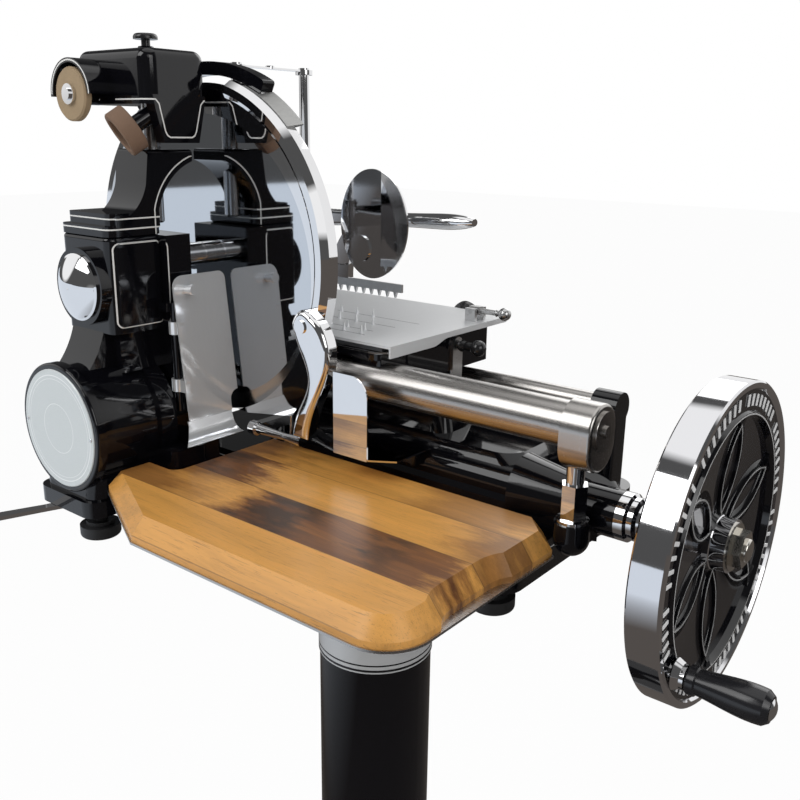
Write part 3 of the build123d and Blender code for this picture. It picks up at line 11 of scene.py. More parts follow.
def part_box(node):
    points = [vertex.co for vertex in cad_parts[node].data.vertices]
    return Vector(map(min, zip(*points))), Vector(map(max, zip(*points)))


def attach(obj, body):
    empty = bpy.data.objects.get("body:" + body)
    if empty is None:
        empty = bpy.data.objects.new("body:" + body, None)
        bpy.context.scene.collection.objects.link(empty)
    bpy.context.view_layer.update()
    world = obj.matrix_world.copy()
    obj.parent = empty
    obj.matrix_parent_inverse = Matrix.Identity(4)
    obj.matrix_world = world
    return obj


bl_info = {
    "name": "Hand crank meat slicer",
    "version": (1, 0, 0),
    "blender": (4, 5, 0),
    "location": "View3D > Sidebar > Slicer",
    "description": "Finishes and trim for a hand crank meat slicer with a flower flywheel",
    "category": "Object",
}

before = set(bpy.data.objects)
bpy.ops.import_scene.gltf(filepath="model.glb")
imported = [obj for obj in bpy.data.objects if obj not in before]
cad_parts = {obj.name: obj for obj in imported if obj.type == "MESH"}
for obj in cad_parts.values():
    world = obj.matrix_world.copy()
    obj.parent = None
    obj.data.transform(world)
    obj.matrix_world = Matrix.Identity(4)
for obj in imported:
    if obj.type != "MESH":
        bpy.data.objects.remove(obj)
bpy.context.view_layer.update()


def corners(node):
    """Lowest and highest corner of a frame node, as vectors in metres."""
    low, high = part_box(node)
    return Vector(low), Vector(high)


def middle(node):
    low, high = corners(node)
    return (low + high) / 2


def half(node):
    low, high = corners(node)
    return (high - low) / 2


# ---------------------------------------------------------------- settings


class FinishSettings(bpy.types.PropertyGroup):
    enamel: FloatVectorProperty(
        name="Enamel", description="Colour of the gloss enamel", subtype="COLOR", size=3,
        default=(0.0035, 0.0035, 0.005), min=0, max=1,
    )
    stripe: FloatVectorProperty(
        name="Pinstripe", description="Colour of the thin painted lines", subtype="COLOR", size=3,
        default=(0.8, 0.8, 0.78), min=0, max=1,
    )
    stripe_width: FloatProperty(
        name="Pinstripe width", description="Width of the painted lines", unit="LENGTH",
        default=0.0013, min=0.0004, max=0.004,
    )
    light_wood: FloatVectorProperty(
        name="Light plank", description="Colour of the pale planks", subtype="COLOR", size=3,
        default=(0.72, 0.35, 0.08), min=0, max=1,
    )
    dark_wood: FloatVectorProperty(
        name="Dark plank", description="Colour of the dark heartwood", subtype="COLOR", size=3,
        default=(0.06, 0.022, 0.010), min=0, max=1,
    )
    stone: FloatVectorProperty(
        name="Stone", description="Colour of the flat sharpening stone", subtype="COLOR", size=3,
        default=(0.42, 0.31, 0.19), min=0, max=1,
    )
    cup_stone: FloatVectorProperty(
        name="Cup stone", description="Colour of the cup stone", subtype="COLOR", size=3,
        default=(0.24, 0.15, 0.10), min=0, max=1,
    )


class TrimSettings(bpy.types.PropertyGroup):
    rim_bars: IntProperty(
        name="Rim bars", description="Raised bars round the flywheel's band", default=72, min=12, max=120,
    )
    bar_height: FloatProperty(
        name="Bar height", description="How far a bar stands off the band", unit="LENGTH",
        default=0.0012, min=0.0004, max=0.003,
    )
    screw_radius: FloatProperty(
        name="Screw radius", description="Head radius of the badge plate's screws", unit="LENGTH",
        default=0.0018, min=0.001, max=0.003,
    )


class StageSettings(bpy.types.PropertyGroup):
    world_level: FloatProperty(
        name="World level", description="Strength of the soft surround", default=0.55, min=0, max=2,
    )
    key_power: FloatProperty(
        name="Key power", description="Power of the large soft lamp", default=26.0, min=0, max=400,
    )
    fill_power: FloatProperty(
        name="Fill power", description="Power of the fill lamp", default=12.0, min=0, max=400,
    )


class SlicerSettings(bpy.types.PropertyGroup):
    finish: PointerProperty(type=FinishSettings)
    trim: PointerProperty(type=TrimSettings)
    stage: PointerProperty(type=StageSettings)


# ---------------------------------------------------------------- shader expressions


class Wire:
    """A socket or number that takes part in a shader expression."""

    def __init__(self, tree, source):
        self.tree = tree
        self.source = source

    def _math(self, operation, *others):
        node = self.tree.nodes.new("ShaderNodeMath")
        node.operation = operation
        for slot, value in zip(node.inputs, (self, *others)):
            plug(self.tree, slot, value)
        return Wire(self.tree, node.outputs[0])

    def __add__(self, other):
        return self._math("ADD", other)

    __radd__ = __add__

    def __sub__(self, other):
        return self._math("SUBTRACT", other)

    def __rsub__(self, other):
        return (self * -1) + other

    def __mul__(self, other):
        return self._math("MULTIPLY", other)

    __rmul__ = __mul__

    def __truediv__(self, other):
        return self._math("DIVIDE", other)

    def __neg__(self):
        return self * -1

    def __lt__(self, other):
        return self._math("LESS_THAN", other)

    def __gt__(self, other):
        return self._math("GREATER_THAN", other)

    def __abs__(self):
        return self._math("ABSOLUTE")

    def root(self):
        return self._math("SQRT")

    def low(self, other):
        return self._math("MINIMUM", other)

    def high(self, other):
        return self._math("MAXIMUM", other)

    def angle_to(self, other):
        return self._math("ARCTAN2", other)

    def whole(self):
        return self._math("ROUND")

    def cosine(self):
        return self._math("COSINE")

    def sine(self):
        return self._math("SINE")

    def clamped(self):
        return self.high(0.0).low(1.0)


def plug(tree, slot, value):
    """Sets a socket to a value, or links it."""
    if isinstance(value, Wire):
        tree.links.new(value.source, slot)
    elif isinstance(slot.default_value, (int, float)):
        slot.default_value = value
    elif len(slot.default_value) == 4 and len(value) == 3:
        slot.default_value = (*value, 1)
    else:
        slot.default_value = value


class Paint:
    """A material under construction: its nodes, coordinates and shader."""

    def __init__(self, name):
        self.material = bpy.data.materials.new(name)
        self.material.use_nodes = True
        self.tree = self.material.node_tree
        self.shader = self.tree.nodes["Principled BSDF"]
        place = self.node("ShaderNodeTexCoord")
        self.place = Wire(self.tree, place.outputs["Object"])
        split = self.node("ShaderNodeSeparateXYZ", Vector=self.place)
        self.x, self.y, self.z = (Wire(self.tree, s) for s in split.outputs)
        facing = self.node("ShaderNodeSeparateXYZ", Vector=Wire(self.tree, place.outputs["Normal"]))
        self.nx, self.ny, self.nz = (Wire(self.tree, s) for s in facing.outputs)

    def node(self, kind, settings=None, **values):
        node = self.tree.nodes.new(kind)
        for key, value in (settings or {}).items():
            setattr(node, key, value)
        for key, value in values.items():
            plug(self.tree, node.inputs[key.replace("_", " ")], value)
        return node

    def vector(self, x, y, z):
        return Wire(self.tree, self.node("ShaderNodeCombineXYZ", X=x, Y=y, Z=z).outputs[0])

    def noise(self, where, scale, detail=4.0, roughness=0.5):
        node = self.node("ShaderNodeTexNoise", Vector=where, Scale=scale, Detail=detail, Roughness=roughness)
        return Wire(self.tree, node.outputs["Fac"])

    def mix(self, factor, first, second):
        node = self.tree.nodes.new("ShaderNodeMix")
        node.data_type = "RGBA"
        plug(self.tree, node.inputs[0], factor)
        plug(self.tree, node.inputs[6], first)
        plug(self.tree, node.inputs[7], second)
        return Wire(self.tree, node.outputs[2])

    def ramp(self, factor, *stops):
        node = self.tree.nodes.new("ShaderNodeValToRGB")
        elements = node.color_ramp.elements
        for index, (position, colour) in enumerate(stops):
            element = elements[index] if index < 2 else elements.new(position)
            element.position = position
            element.color = (*colour, 1)
        plug(self.tree, node.inputs[0], factor)
        return Wire(self.tree, node.outputs[0])

    def bump(self, height, distance, strength=1.0):
        node = self.node("ShaderNodeBump", Height=height, Distance=distance, Strength=strength)
        return Wire(self.tree, node.outputs[0])

    def set(self, **values):
        for key, value in values.items():
            plug(self.tree, self.shader.inputs[key.replace("_", " ")], value)
        return self.material


def band(value, centre, half_width):
    """1 where value lies within half_width of centre."""
    return abs(value - centre) < half_width


def loop_line(across, up, centre, reach, corner, width):
    """Mask of a line that follows a rounded rectangle, centre and half sizes given."""
    dx = abs(across - centre[0]) - (reach[0] - corner)
    dy = abs(up - centre[1]) - (reach[1] - corner)
    outside = (dx.high(0.0) * dx.high(0.0) + dy.high(0.0) * dy.high(0.0)).root()
    inside = dx.high(dy).low(0.0)
    return abs(outside + inside - corner) < width / 2


# ---------------------------------------------------------------- materials


def enamel(name, stripes=None):
    """Black gloss enamel, with the painted lines that stripes(paint) gives as a mask."""
    look = bpy.context.scene.slicer.finish
    paint = Paint(name)
    peel = paint.noise(paint.place, 900.0, 2.0)
    haze = paint.noise(paint.place, 14.0, 5.0)
    colour = tuple(look.enamel)
    rough = haze * 0.04 + 0.02
    if stripes:
        line = stripes(paint, look.stripe_width)
        colour = paint.mix(line, colour, tuple(look.stripe))
        rough = rough + line * 0.2
    return paint.set(
        Base_Color=colour, Roughness=rough, Specular_IOR_Level=0.5,
        Normal=paint.bump(peel, 0.00002, 0.5),
    )


def chrome(name, tint=(0.86, 0.86, 0.87), gloss=0.02):
    paint = Paint(name)
    cloud = paint.noise(paint.place, 22.0, 6.0)
    fine = paint.noise(paint.place, 1500.0, 2.0)
    shade = paint.mix(cloud, tint, tuple(t * 0.93 for t in tint))
    return paint.set(
        Base_Color=shade, Metallic=1.0, Roughness=cloud * 0.03 + gloss,
        Normal=paint.bump(fine, 0.000002, 0.2),
    )


def turned_steel(name, axis, centre, tint=(0.62, 0.61, 0.6), gloss=0.16, fine=5200.0):
    """Steel with turning marks round an axis: rings on the faces, bands on the sides."""
    paint = Paint(name)
    spots = {
        "x": (paint.y, paint.z, paint.x),
        "y": (paint.x, paint.z, paint.y),
        "z": (paint.x, paint.y, paint.z),
    }
    a, b, along = spots[axis]
    a = a - centre[0]
    b = b - centre[1]
    radius = (a * a + b * b).root()
    marks = paint.noise(paint.vector(radius, along, 0.0), fine / 10, 3.0, 0.7)
    cloud = paint.noise(paint.place, 9.0, 5.0)
    shade = paint.mix(marks, tuple(t * 0.86 for t in tint), tuple(min(1, t * 1.1) for t in tint))
    return paint.set(
        Base_Color=shade, Metallic=1.0, Roughness=marks * 0.12 + cloud * 0.06 + gloss,
        Normal=paint.bump(marks, 0.00001, 0.35),
    )


def drawn_steel(name, stretch, tint=(0.6, 0.59, 0.57), gloss=0.17):
    """Steel with long scratches: stretch gives how finely they run on each axis."""
    paint = Paint(name)
    where = paint.vector(paint.x * stretch[0], paint.y * stretch[1], paint.z * stretch[2])
    marks = paint.noise(where, 1.0, 5.0, 0.65)
    cloud = paint.noise(paint.place, 12.0, 4.0)
    shade = paint.mix(marks, tuple(t * 0.82 for t in tint), tuple(min(1, t * 1.12) for t in tint))
    return paint.set(
        Base_Color=shade, Metallic=1.0, Roughness=marks * 0.14 + cloud * 0.05 + gloss,
        Normal=paint.bump(marks, 0.000012, 0.3),
    )


def moulded(name, colour=(0.012, 0.012, 0.013), gloss=0.16, grain=0.0):
    paint = Paint(name)
    spots = paint.noise(paint.place, 700.0, 3.0)
    cloud = paint.noise(paint.place, 25.0, 4.0)
    return paint.set(
        Base_Color=paint.mix(cloud, colour, tuple(c * 1.5 + 0.004 for c in colour)),
        Roughness=cloud * 0.12 + gloss, Normal=paint.bump(spots, 0.00004, 0.25 + grain),
    )


def gritty(name, colour):
    paint = Paint(name)
    grit = paint.noise(paint.place, 1400.0, 3.0, 0.8)
    stain = paint.noise(paint.place, 70.0, 5.0, 0.7)
    shade = paint.mix(grit, tuple(c * 0.72 for c in colour), tuple(min(1, c * 1.25) for c in colour))
    shade = paint.mix(stain * 0.55, shade, tuple(c * 0.55 for c in colour))
    return paint.set(Base_Color=shade, Roughness=0.88, Normal=paint.bump(grit, 0.00025, 0.8))


def brass(name):
    paint = Paint(name)
    cloud = paint.noise(paint.place, 60.0, 5.0)
    return paint.set(
        Base_Color=paint.mix(cloud, (0.62, 0.58, 0.5), (0.74, 0.72, 0.68)), Metallic=1.0,
        Roughness=cloud * 0.12 + 0.12,
    )


def plank_wood(name):
    """Strips of pale wood with scorched heartwood, oiled, with long grain along X."""
    look = bpy.context.scene.slicer.finish
    low, high = corners("board")
    paint = Paint(name)
    strips = 4
    row = (paint.y - low.y) / (high.y - low.y) * strips
    index = (row - 0.5).whole()
    seam = abs(row - row.whole()) < 0.010
    along = (paint.x - low.x) / (high.x - low.x)
    drift = paint.noise(paint.vector(paint.x * 3.0 + index * 2.1, paint.y * 9.0, 0.0), 1.0, 3.0)
    rows = paint.vector(paint.x * 4.0 + index * 3.7, paint.y * 95.0 + drift * 5.0, paint.z * 50.0)
    grain = paint.noise(rows, 1.0, 9.0, 0.66)
    fine = paint.noise(paint.vector(paint.x * 26.0, paint.y * 900.0, paint.z * 500.0), 1.0, 4.0, 0.7)
    pores = paint.noise(paint.vector(paint.x * 48.0, paint.y * 1500.0, paint.z * 900.0), 1.0, 2.0, 0.7)
    scorch_at = paint.vector(paint.x * 11.0 + index * 5.1, paint.y * 42.0 + index * 2.3, 0.0)
    scorch = paint.noise(scorch_at, 1.0, 7.0, 0.66) + (grain - 0.5) * 0.35
    edge = along + (scorch - 0.5) * 0.42
    strip = [band(index, float(k), 0.5) for k in range(strips)]

    def patch(centre, reach, blur):
        """1 inside a stretch of the strip, fading over blur."""
        return ((reach - abs(edge - centre)) / blur + 0.5).clamped()

    second = patch(0.67, 0.30, 0.10).high(patch(0.04, 0.20, 0.16) * 0.75)
    third = patch(0.15, 0.16, 0.08).high(patch(0.99, 0.09, 0.10) * 0.7)
    last = patch(0.06, 0.22, 0.12) * 0.8
    brown = strip[1] * second + strip[2] * third + strip[3] * last.high(patch(0.82, 0.14, 0.1) * 0.5)
    burnt_second = patch(0.52, 0.10, 0.06).high(patch(0.80, 0.05, 0.06))
    burnt = strip[1] * burnt_second + strip[2] * patch(0.13, 0.12, 0.06)
    burnt = burnt.clamped() * ((scorch - 0.42) * 6.0).clamped()
    tone = paint.noise(paint.vector(index * 2.9, along * 1.3, 0.0), 1.5, 2.0)
    pale = paint.ramp(
        grain * 0.75 + tone * 0.25, (0.25, tuple(c * 0.62 for c in look.light_wood)),
        (0.75, tuple(min(1, c * 1.22) for c in look.light_wood)), (0.5, tuple(look.light_wood)),
    )
    heart = paint.ramp(
        grain * 0.7 + fine * 0.3,
        (0.3, (0.075, 0.025, 0.008)), (0.72, (0.36, 0.145, 0.035)), (0.5, (0.19, 0.07, 0.018)),
    )
    black = paint.mix(grain, (0.012, 0.009, 0.007), (0.06, 0.03, 0.015))
    shade = paint.mix(brown.clamped(), pale, heart)
    shade = paint.mix(burnt * 0.9, shade, black)
    shade = paint.mix((fine > 0.60) * 0.22, shade, tuple(look.dark_wood))
    shade = paint.mix((pores > 0.66) * 0.4, shade, tuple(look.dark_wood))
    shade = paint.mix(seam * (paint.nz > 0.3) * 0.45, shade, (0.05, 0.02, 0.008))
    return paint.set(
        Base_Color=shade, Roughness=grain * 0.14 + fine * 0.08 + 0.27, Coat_Weight=0.12, Coat_Roughness=0.25,
        Normal=paint.bump(grain * 0.5 + pores * 0.5 - seam * 1.2, 0.0002, 0.4),
    )


# ruled lines of the table: place along its depth, start and end across its width, as shares
ruled_lines = (
    (0.496, 0.40, 0.83),
    (0.35, 0.40, 0.80),
    (0.21, 0.42, 0.78),
    (0.12, 0.52, 0.80),
)
line_half = 0.0006


def table_plate(name):
    """Satin aluminium with the ruled lines between the spikes."""
    low, high = corners("table")
    paint = Paint(name)
    marks = paint.noise(paint.vector(paint.x * 900.0, paint.y * 20.0, paint.z * 200.0), 1.0, 4.0, 0.7)
    cloud = paint.noise(paint.place, 11.0, 4.0)
    lines = 0.0
    for along, begin, end in ruled_lines:
        y = low.y + (high.y - low.y) * along
        x0 = low.x + (high.x - low.x) * begin
        x1 = low.x + (high.x - low.x) * end
        lines = band(paint.y, y, line_half) * band(paint.x, (x0 + x1) / 2, (x1 - x0) / 2) + lines
    lines = lines * (paint.nz > 0.5)
    shade = paint.mix(marks, (0.72, 0.73, 0.74), (0.82, 0.83, 0.84))
    shade = paint.mix(lines.clamped(), shade, (0.16, 0.16, 0.17))
    return paint.set(
        Base_Color=shade, Metallic=0.4, Roughness=marks * 0.12 + cloud * 0.08 + 0.3,
        Normal=paint.bump(marks - lines * 3.0, 0.00003, 0.3),
    )


def flower_wheel(name):
    """Black casting with a chrome rim and hub, and pale lines along the petals' ribs."""
    look = bpy.context.scene.slicer.finish
    centre = middle("flywheel")
    outer = half("flywheel").z
    paint = Paint(name)
    across = (paint.y - centre.y) / outer
    up = (paint.z - centre.z) / outer
    radius = (across * across + up * up).root()
    rim_edge = 0.945
    rim = radius > rim_edge
    hub = radius < 0.17
    back = paint.nx < -0.3
    metal = (rim + hub).clamped() * (1 - back * (radius < rim_edge))
    # fold the six petals onto one
    first = math.radians(24)
    sector = math.radians(60)
    turn = up.angle_to(across) - first
    local = turn - (turn / sector).whole() * sector
    out = radius * local.cosine()
    side = abs(radius * local.sine())
    tip_in, tip_out, width = 0.181, 0.731, 0.212
    reach = (tip_out - tip_in) / 2
    arc = (reach ** 2 + (width / 2) ** 2) / width
    sink = arc - width / 2
    mid = (tip_in + tip_out) / 2
    dx = out - mid
    dy = side + sink
    near = abs((dx * dx + dy * dy).root() - arc)
    rib = (near < 0.0052) * (radius < 0.79) * (radius > 0.17) * (paint.nx > 0.5)
    ring = band(radius, 0.800, 0.0045) * (paint.nx > 0.3)
    line = (rib + ring).clamped()
    cloud = paint.noise(paint.place, 20.0, 5.0)
    # each petal rolls over between its ribs
    roll = (1 - near / 0.075).clamped()
    web = (paint.nx > 0.5) * (radius < 0.79) * (radius > 0.17)
    swell = roll * roll * web
    shade = paint.mix(line, tuple(look.enamel), (0.55, 0.55, 0.55))
    shade = paint.mix(metal, shade, (0.8, 0.8, 0.82))
    return paint.set(
        Base_Color=shade, Metallic=metal, Roughness=cloud * 0.05 + 0.035 + line * 0.15, Coat_Weight=0.3,
        Coat_Roughness=0.03, Normal=paint.bump(swell, 0.008, 1.0),
    )


def polished_blade(name):
    """Mirror steel with a duller ground bevel at the cutting edge."""
    centre = middle("blade")
    outer = half("blade").x
    paint = Paint(name)
    dx = paint.x - centre.x
    dz = paint.z - centre.z
    radius = (dx * dx + dz * dz).root()
    ground = radius > outer - 0.016
    marks = paint.noise(paint.vector(radius, 0.0, 0.0), 1800.0, 3.0, 0.7)
    cloud = paint.noise(paint.place, 7.0, 4.0)
    shade = paint.mix(marks, (0.60, 0.63, 0.67), (0.72, 0.74, 0.77))
    shade = paint.mix(ground, shade, (0.5, 0.5, 0.5))
    return paint.set(
        Base_Color=shade, Metallic=1.0, Roughness=ground * 0.12 + marks * 0.02 + cloud * 0.02 + 0.012,
        Normal=paint.bump(marks, 0.000001, 0.2),
    )


def polished_sheet(name):
    """Bright sheet with faint upright polishing marks and a few wiped streaks."""
    paint = Paint(name)
    marks = paint.noise(paint.vector(paint.x * 500.0, paint.y * 500.0, paint.z * 12.0), 1.0, 3.0, 0.6)
    wiped = paint.noise(paint.vector(paint.x * 20.0, paint.y * 20.0, paint.z * 7.0), 1.0, 3.0, 0.5)
    shade = paint.mix(marks, (0.84, 0.86, 0.88), (0.9, 0.91, 0.92))
    return paint.set(Base_Color=shade, Metallic=0.55, Roughness=marks * 0.03 + wiped * 0.12 + 0.05)


def ringed_plate(name):
    """Pale etched disc with plain concentric rings."""
    centre = middle("badge_plate")
    outer = half("badge_plate").x
    paint = Paint(name)
    dx = (paint.x - centre.x) / outer
    dz = (paint.z - centre.z) / outer
    radius = (dx * dx + dz * dz).root()
    rings = band(radius, 0.90, 0.008) + band(radius, 0.84, 0.004) + band(radius, 0.42, 0.005)
    etched = paint.noise(paint.place, 1200.0, 3.0)
    shade = paint.mix(etched, (0.62, 0.66, 0.66), (0.74, 0.78, 0.78))
    shade = paint.mix(rings.clamped(), shade, (0.93, 0.95, 0.95))
    return paint.set(
        Base_Color=shade, Metallic=0.25, Roughness=etched * 0.1 + 0.3,
        Normal=paint.bump(etched + rings, 0.00003, 0.4),
    )


def striped_band(name):
    """Satin band of the pedestal, with a dark line near each edge."""
    low, high = corners("pedestal_band")
    paint = Paint(name)
    share = (paint.z - low.z) / (high.z - low.z)
    lines = (band(share, 0.10, 0.045) + band(share, 0.30, 0.03)).clamped()
    marks = paint.noise(paint.vector(0.0, 0.0, paint.z), 2600.0, 3.0, 0.7)
    shade = paint.mix(marks, (0.6, 0.61, 0.62), (0.72, 0.73, 0.74))
    shade = paint.mix(lines, shade, (0.01, 0.01, 0.012))
    return paint.set(Base_Color=shade, Metallic=(1 - lines) * 0.35, Roughness=marks * 0.1 + 0.2)


def dress(material, *nodes):
    """Gives frame nodes a material."""
    for node in nodes:
        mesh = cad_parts[node].data
        mesh.materials.clear()
        mesh.materials.append(material)


# painted frame on the side of the column's upper box: middle, half sizes and corner, in Y and Z
panel_middle = (-0.118, 0.9925)
panel_reach = (0.0255, 0.0385)
panel_corner = 0.006


def column_lines(paint, width):
    """A rounded frame on the column's upper box, on the side that faces the flywheel."""
    box_right = corners("arm")[1].x
    panel = loop_line(paint.y, paint.z, panel_middle, panel_reach, panel_corner, width)
    return panel * (paint.nx > 0.8) * (paint.x > box_right - 0.02)


def stroke(across, up, points, width):
    """Mask of a line drawn through points, in the coordinates across and up."""
    nearest = None
    for (a0, u0), (a1, u1) in zip(points, points[1:]):
        run_a, run_u = a1 - a0, u1 - u0
        length = run_a * run_a + run_u * run_u
        share = (((across - a0) * run_a + (up - u0) * run_u) / length).clamped()
        off_a = across - a0 - share * run_a
        off_u = up - u0 - share * run_u
        gap = off_a * off_a + off_u * off_u
        nearest = gap if nearest is None else nearest.low(gap)
    return nearest.root() < width / 2


def upright_wall(paint):
    """Mask that leaves out faces that look up or down."""
    return 1 - (abs(paint.nz) > 0.6)


# hollow edge of the arm, in Y and Z: centre of its curve, and the painted line's distance from it
hollow_y = -0.0311
hollow_z = 1.043
hollow_reach = 0.067
curve_low = 1.059
curve_high = 1.107
flange_top = 1.022
step_front = -0.089


def arm_lines(paint, width):
    """A line round the flange, and one that climbs the arm's side beside its hollow edge."""
    low = corners("arm")[0]
    flange = band(paint.z, low.z + 0.0065, width / 2) * upright_wall(paint)
    step = band(paint.z, low.z + 0.0155, width / 2) * upright_wall(paint) * (paint.y < step_front)
    dy = paint.y - hollow_y
    dz = paint.z - hollow_z
    climb = band((dy * dy + dz * dz).root(), hollow_reach, width / 2)
    climb = climb * (paint.z > curve_low) * (paint.z < curve_high)
    foot = band(paint.y, hollow_y - hollow_reach + 0.002, width / 2)
    foot = foot * (paint.z < curve_low) * (paint.z > flange_top)
    return (flange + step + (climb + foot) * (paint.nx > 0.8)).clamped()


# the line along the housing's lower edge, and its way down round the skirt, in Y and Z
head_level = 1.156
skirt_route = (
    (-0.113, head_level), (-0.1045, head_level), (-0.101, 1.1525), (-0.0955, 1.129),
    (-0.0935, 1.1255), (-0.0905, 1.1238), (-0.066, 1.1238), (-0.063, 1.1255),
    (-0.061, 1.129), (-0.0545, 1.1525), (-0.051, head_level), (-0.045, head_level),
)
hood_right = -0.215
hood_margin = 0.0056


def head_lines(paint, width):
    """A line along the housing's lower edge, round the hood and down round the skirt."""
    plain = band(paint.z, head_level, width / 2) * upright_wall(paint)
    plain = plain * (paint.nx < 0.6) * (paint.x > hood_right)
    skirt = stroke(paint.y, paint.z, skirt_route, width) * (paint.nx > 0.6)
    stone = middle("grind_stone")
    dx = paint.x - stone.x
    dz = paint.z - stone.z
    hood = band((dx * dx + dz * dz).root(), half("grind_stone").x + hood_margin, width / 2)
    hood = hood * (paint.ny < -0.7) * (paint.z > stone.z)
    return (plain + skirt + hood).clamped()


def base_lines(paint, width):
    """A line round the plinth."""
    low = corners("base")[0]
    return band(paint.z, low.z + 0.022, width / 2) * upright_wall(paint)


class SLICER_OT_finishes(bpy.types.Operator):
    """Give every part of the slicer its finish"""

    bl_idname = "slicer.finishes"
    bl_label = "Finishes"

    def execute(self, context):
        look = context.scene.slicer.finish
        black = enamel("black_enamel")
        bright = chrome("bright_chrome")
        dress(black, "pedestal_base", "pedestal_column", "pedestal_plate", "carriage")
        dress(black, "cover_bracket", "guard_bridge")
        dress(enamel("base_enamel", base_lines), "base")
        dress(enamel("column_enamel", column_lines), "column")
        dress(enamel("arm_enamel", arm_lines), "arm")
        dress(enamel("head_enamel", head_lines), "sharpener_head")
        dress(striped_band("pedestal_band_metal"), "pedestal_band")
        dress(bright, "dome", "hub_cap", "guard_ring", "guard_cover", "guard_lever", "guard_bar", "end_plate")
        dress(bright, "slice_lever", "rail_post", "shaft_collar", "crank_spindle", "drive_shaft")
        dress(bright, "press_shield", "press_arm", "stone_screws", "front_shelf", "press_posts")
        shaft = middle("blade_shaft")
        dress(turned_steel("shaft_steel", "y", (shaft.x, shaft.z), (0.75, 0.75, 0.76), 0.08), "blade_shaft")
        dress(polished_blade("blade_steel"), "blade")
        dress(drawn_steel("rail_steel", (6.0, 900.0, 900.0), (0.5, 0.48, 0.46)), "rail_tube", "rear_rail")
        end = middle("rail_end")
        dress(turned_steel("rail_end_steel", "x", (end.y, end.z), (0.5, 0.48, 0.46)), "rail_end")
        dress(polished_sheet("polished_sheet"), "deflector")
        dress(table_plate("table_aluminium"), "table")
        dress(drawn_steel("tray_steel", (12.0, 500.0, 500.0), (0.55, 0.54, 0.53), 0.18), "tray")
        strap = drawn_steel("bright_strap", (200.0, 200.0, 800.0), (0.7, 0.7, 0.7), 0.2)
        dress(strap, "lock_strap", "lever_bracket")
        small = drawn_steel("small_steel", (400.0, 400.0, 400.0), (0.6, 0.6, 0.6), 0.22)
        dress(small, "table_lever", "feed_bearing")
        dress(drawn_steel("guard_flap_steel", (300.0, 60.0, 300.0), (0.45, 0.45, 0.44), 0.3), "guard_flap")
        dress(drawn_steel("jaw_steel", (300.0, 60.0, 300.0), (0.6, 0.6, 0.6), 0.22), "press_jaw")
        post = middle("sharpener_post")
        dress(turned_steel("post_steel", "z", (post.x, post.y), (0.65, 0.65, 0.66), 0.1), "sharpener_post")
        dress(flower_wheel("flower_wheel"), "flywheel")
        dress(brass("nut_brass"), "wheel_nut")
        dress(ringed_plate("etched_plate"), "badge_plate")
        dress(moulded("grip_black", (0.010, 0.010, 0.012), 0.12), "crank_grip")
        dress(moulded("knob_black", (0.012, 0.012, 0.013), 0.14), "lock_knob", "feed_knob", "push_knob")
        dress(moulded("edge_black", (0.02, 0.02, 0.022), 0.35), "table_edge")
        for name in ("foot_front_left", "foot_front_right", "foot_back_left", "foot_back_right"):
            dress(moulded("foot_rubber", (0.014, 0.014, 0.015), 0.42, 0.5), name)
        dress(plank_wood("plank_wood"), "board")
        dress(gritty("flat_stone", tuple(look.stone)), "grind_stone")
        dress(gritty("cup_stone", tuple(look.cup_stone)), "cup_stone")
        return {"FINISHED"}


# ---------------------------------------------------------------- modelling helpers


def pick_none():
    if bpy.context.mode != "OBJECT":
        bpy.ops.object.mode_set(mode="OBJECT")
    bpy.ops.object.select_all(action="DESELECT")


def settle(piece, name, body, material):
    """Names a new piece, applies its place, and ties it to the body that carries it."""
    pick_none()
    piece.select_set(True)
    bpy.context.view_layer.objects.active = piece
    bpy.ops.object.transform_apply(location=True, rotation=True, scale=True)
    piece.name = name
    piece.data.name = name
    piece.data.materials.clear()
    piece.data.materials.append(material)
    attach(piece, body)
    return piece


def join(pieces):
    """Joins pieces into the first."""
    pick_none()
    for piece in pieces:
        piece.select_set(True)
    bpy.context.view_layer.objects.active = pieces[0]
    bpy.ops.object.join()
    return pieces[0]


def upright(direction):
    """Turn that brings +Z to a direction."""
    return Vector((0, 0, 1)).rotation_difference(Vector(direction)).to_euler()


def slotted_screw(place, direction, radius, height):
    """A domed screw head with a slot across it."""
    pick_none()
    bpy.ops.mesh.primitive_cylinder_add(vertices=28, radius=radius, depth=height, location=(0, 0, height / 2))
    screw = bpy.context.object
    bpy.ops.object.transform_apply(location=True, rotation=False, scale=False)
    bpy.ops.object.mode_set(mode="EDIT")
    mesh = bmesh.from_edit_mesh(screw.data)
    for face in mesh.faces:
        face.select_set(face.normal.z > 0.9)
    bmesh.update_edit_mesh(screw.data)
    bpy.ops.mesh.bevel(offset=min(radius * 0.3, height * 0.45), segments=3, affect="EDGES")
    bpy.ops.object.mode_set(mode="OBJECT")
    bpy.ops.mesh.primitive_cube_add(size=1, location=(0, 0, height))
    cutter = bpy.context.object
    cutter.scale = (radius * 2.2, radius * 0.3, height * 0.7)
    cut = screw.modifiers.new("slot", "BOOLEAN")
    cut.operation = "DIFFERENCE"
    cut.object = cutter
    pick_none()
    screw.select_set(True)
    bpy.context.view_layer.objects.active = screw
    bpy.ops.object.modifier_apply(modifier="slot")
    bpy.data.objects.remove(cutter)
    screw.rotation_euler = upright(direction)
    screw.location = place
    return screw


# the recessed band of the flywheel: its depth, and its edges as shares of the wheel's radius
band_depth = 0.0055
band_inner = 0.835
band_outer = 0.932
bar_width = 0.0034
bar_bevel = 0.0004
bars_in_group = 9
crank_clear = 0.16      # turn left free on each side of the crank, in radians


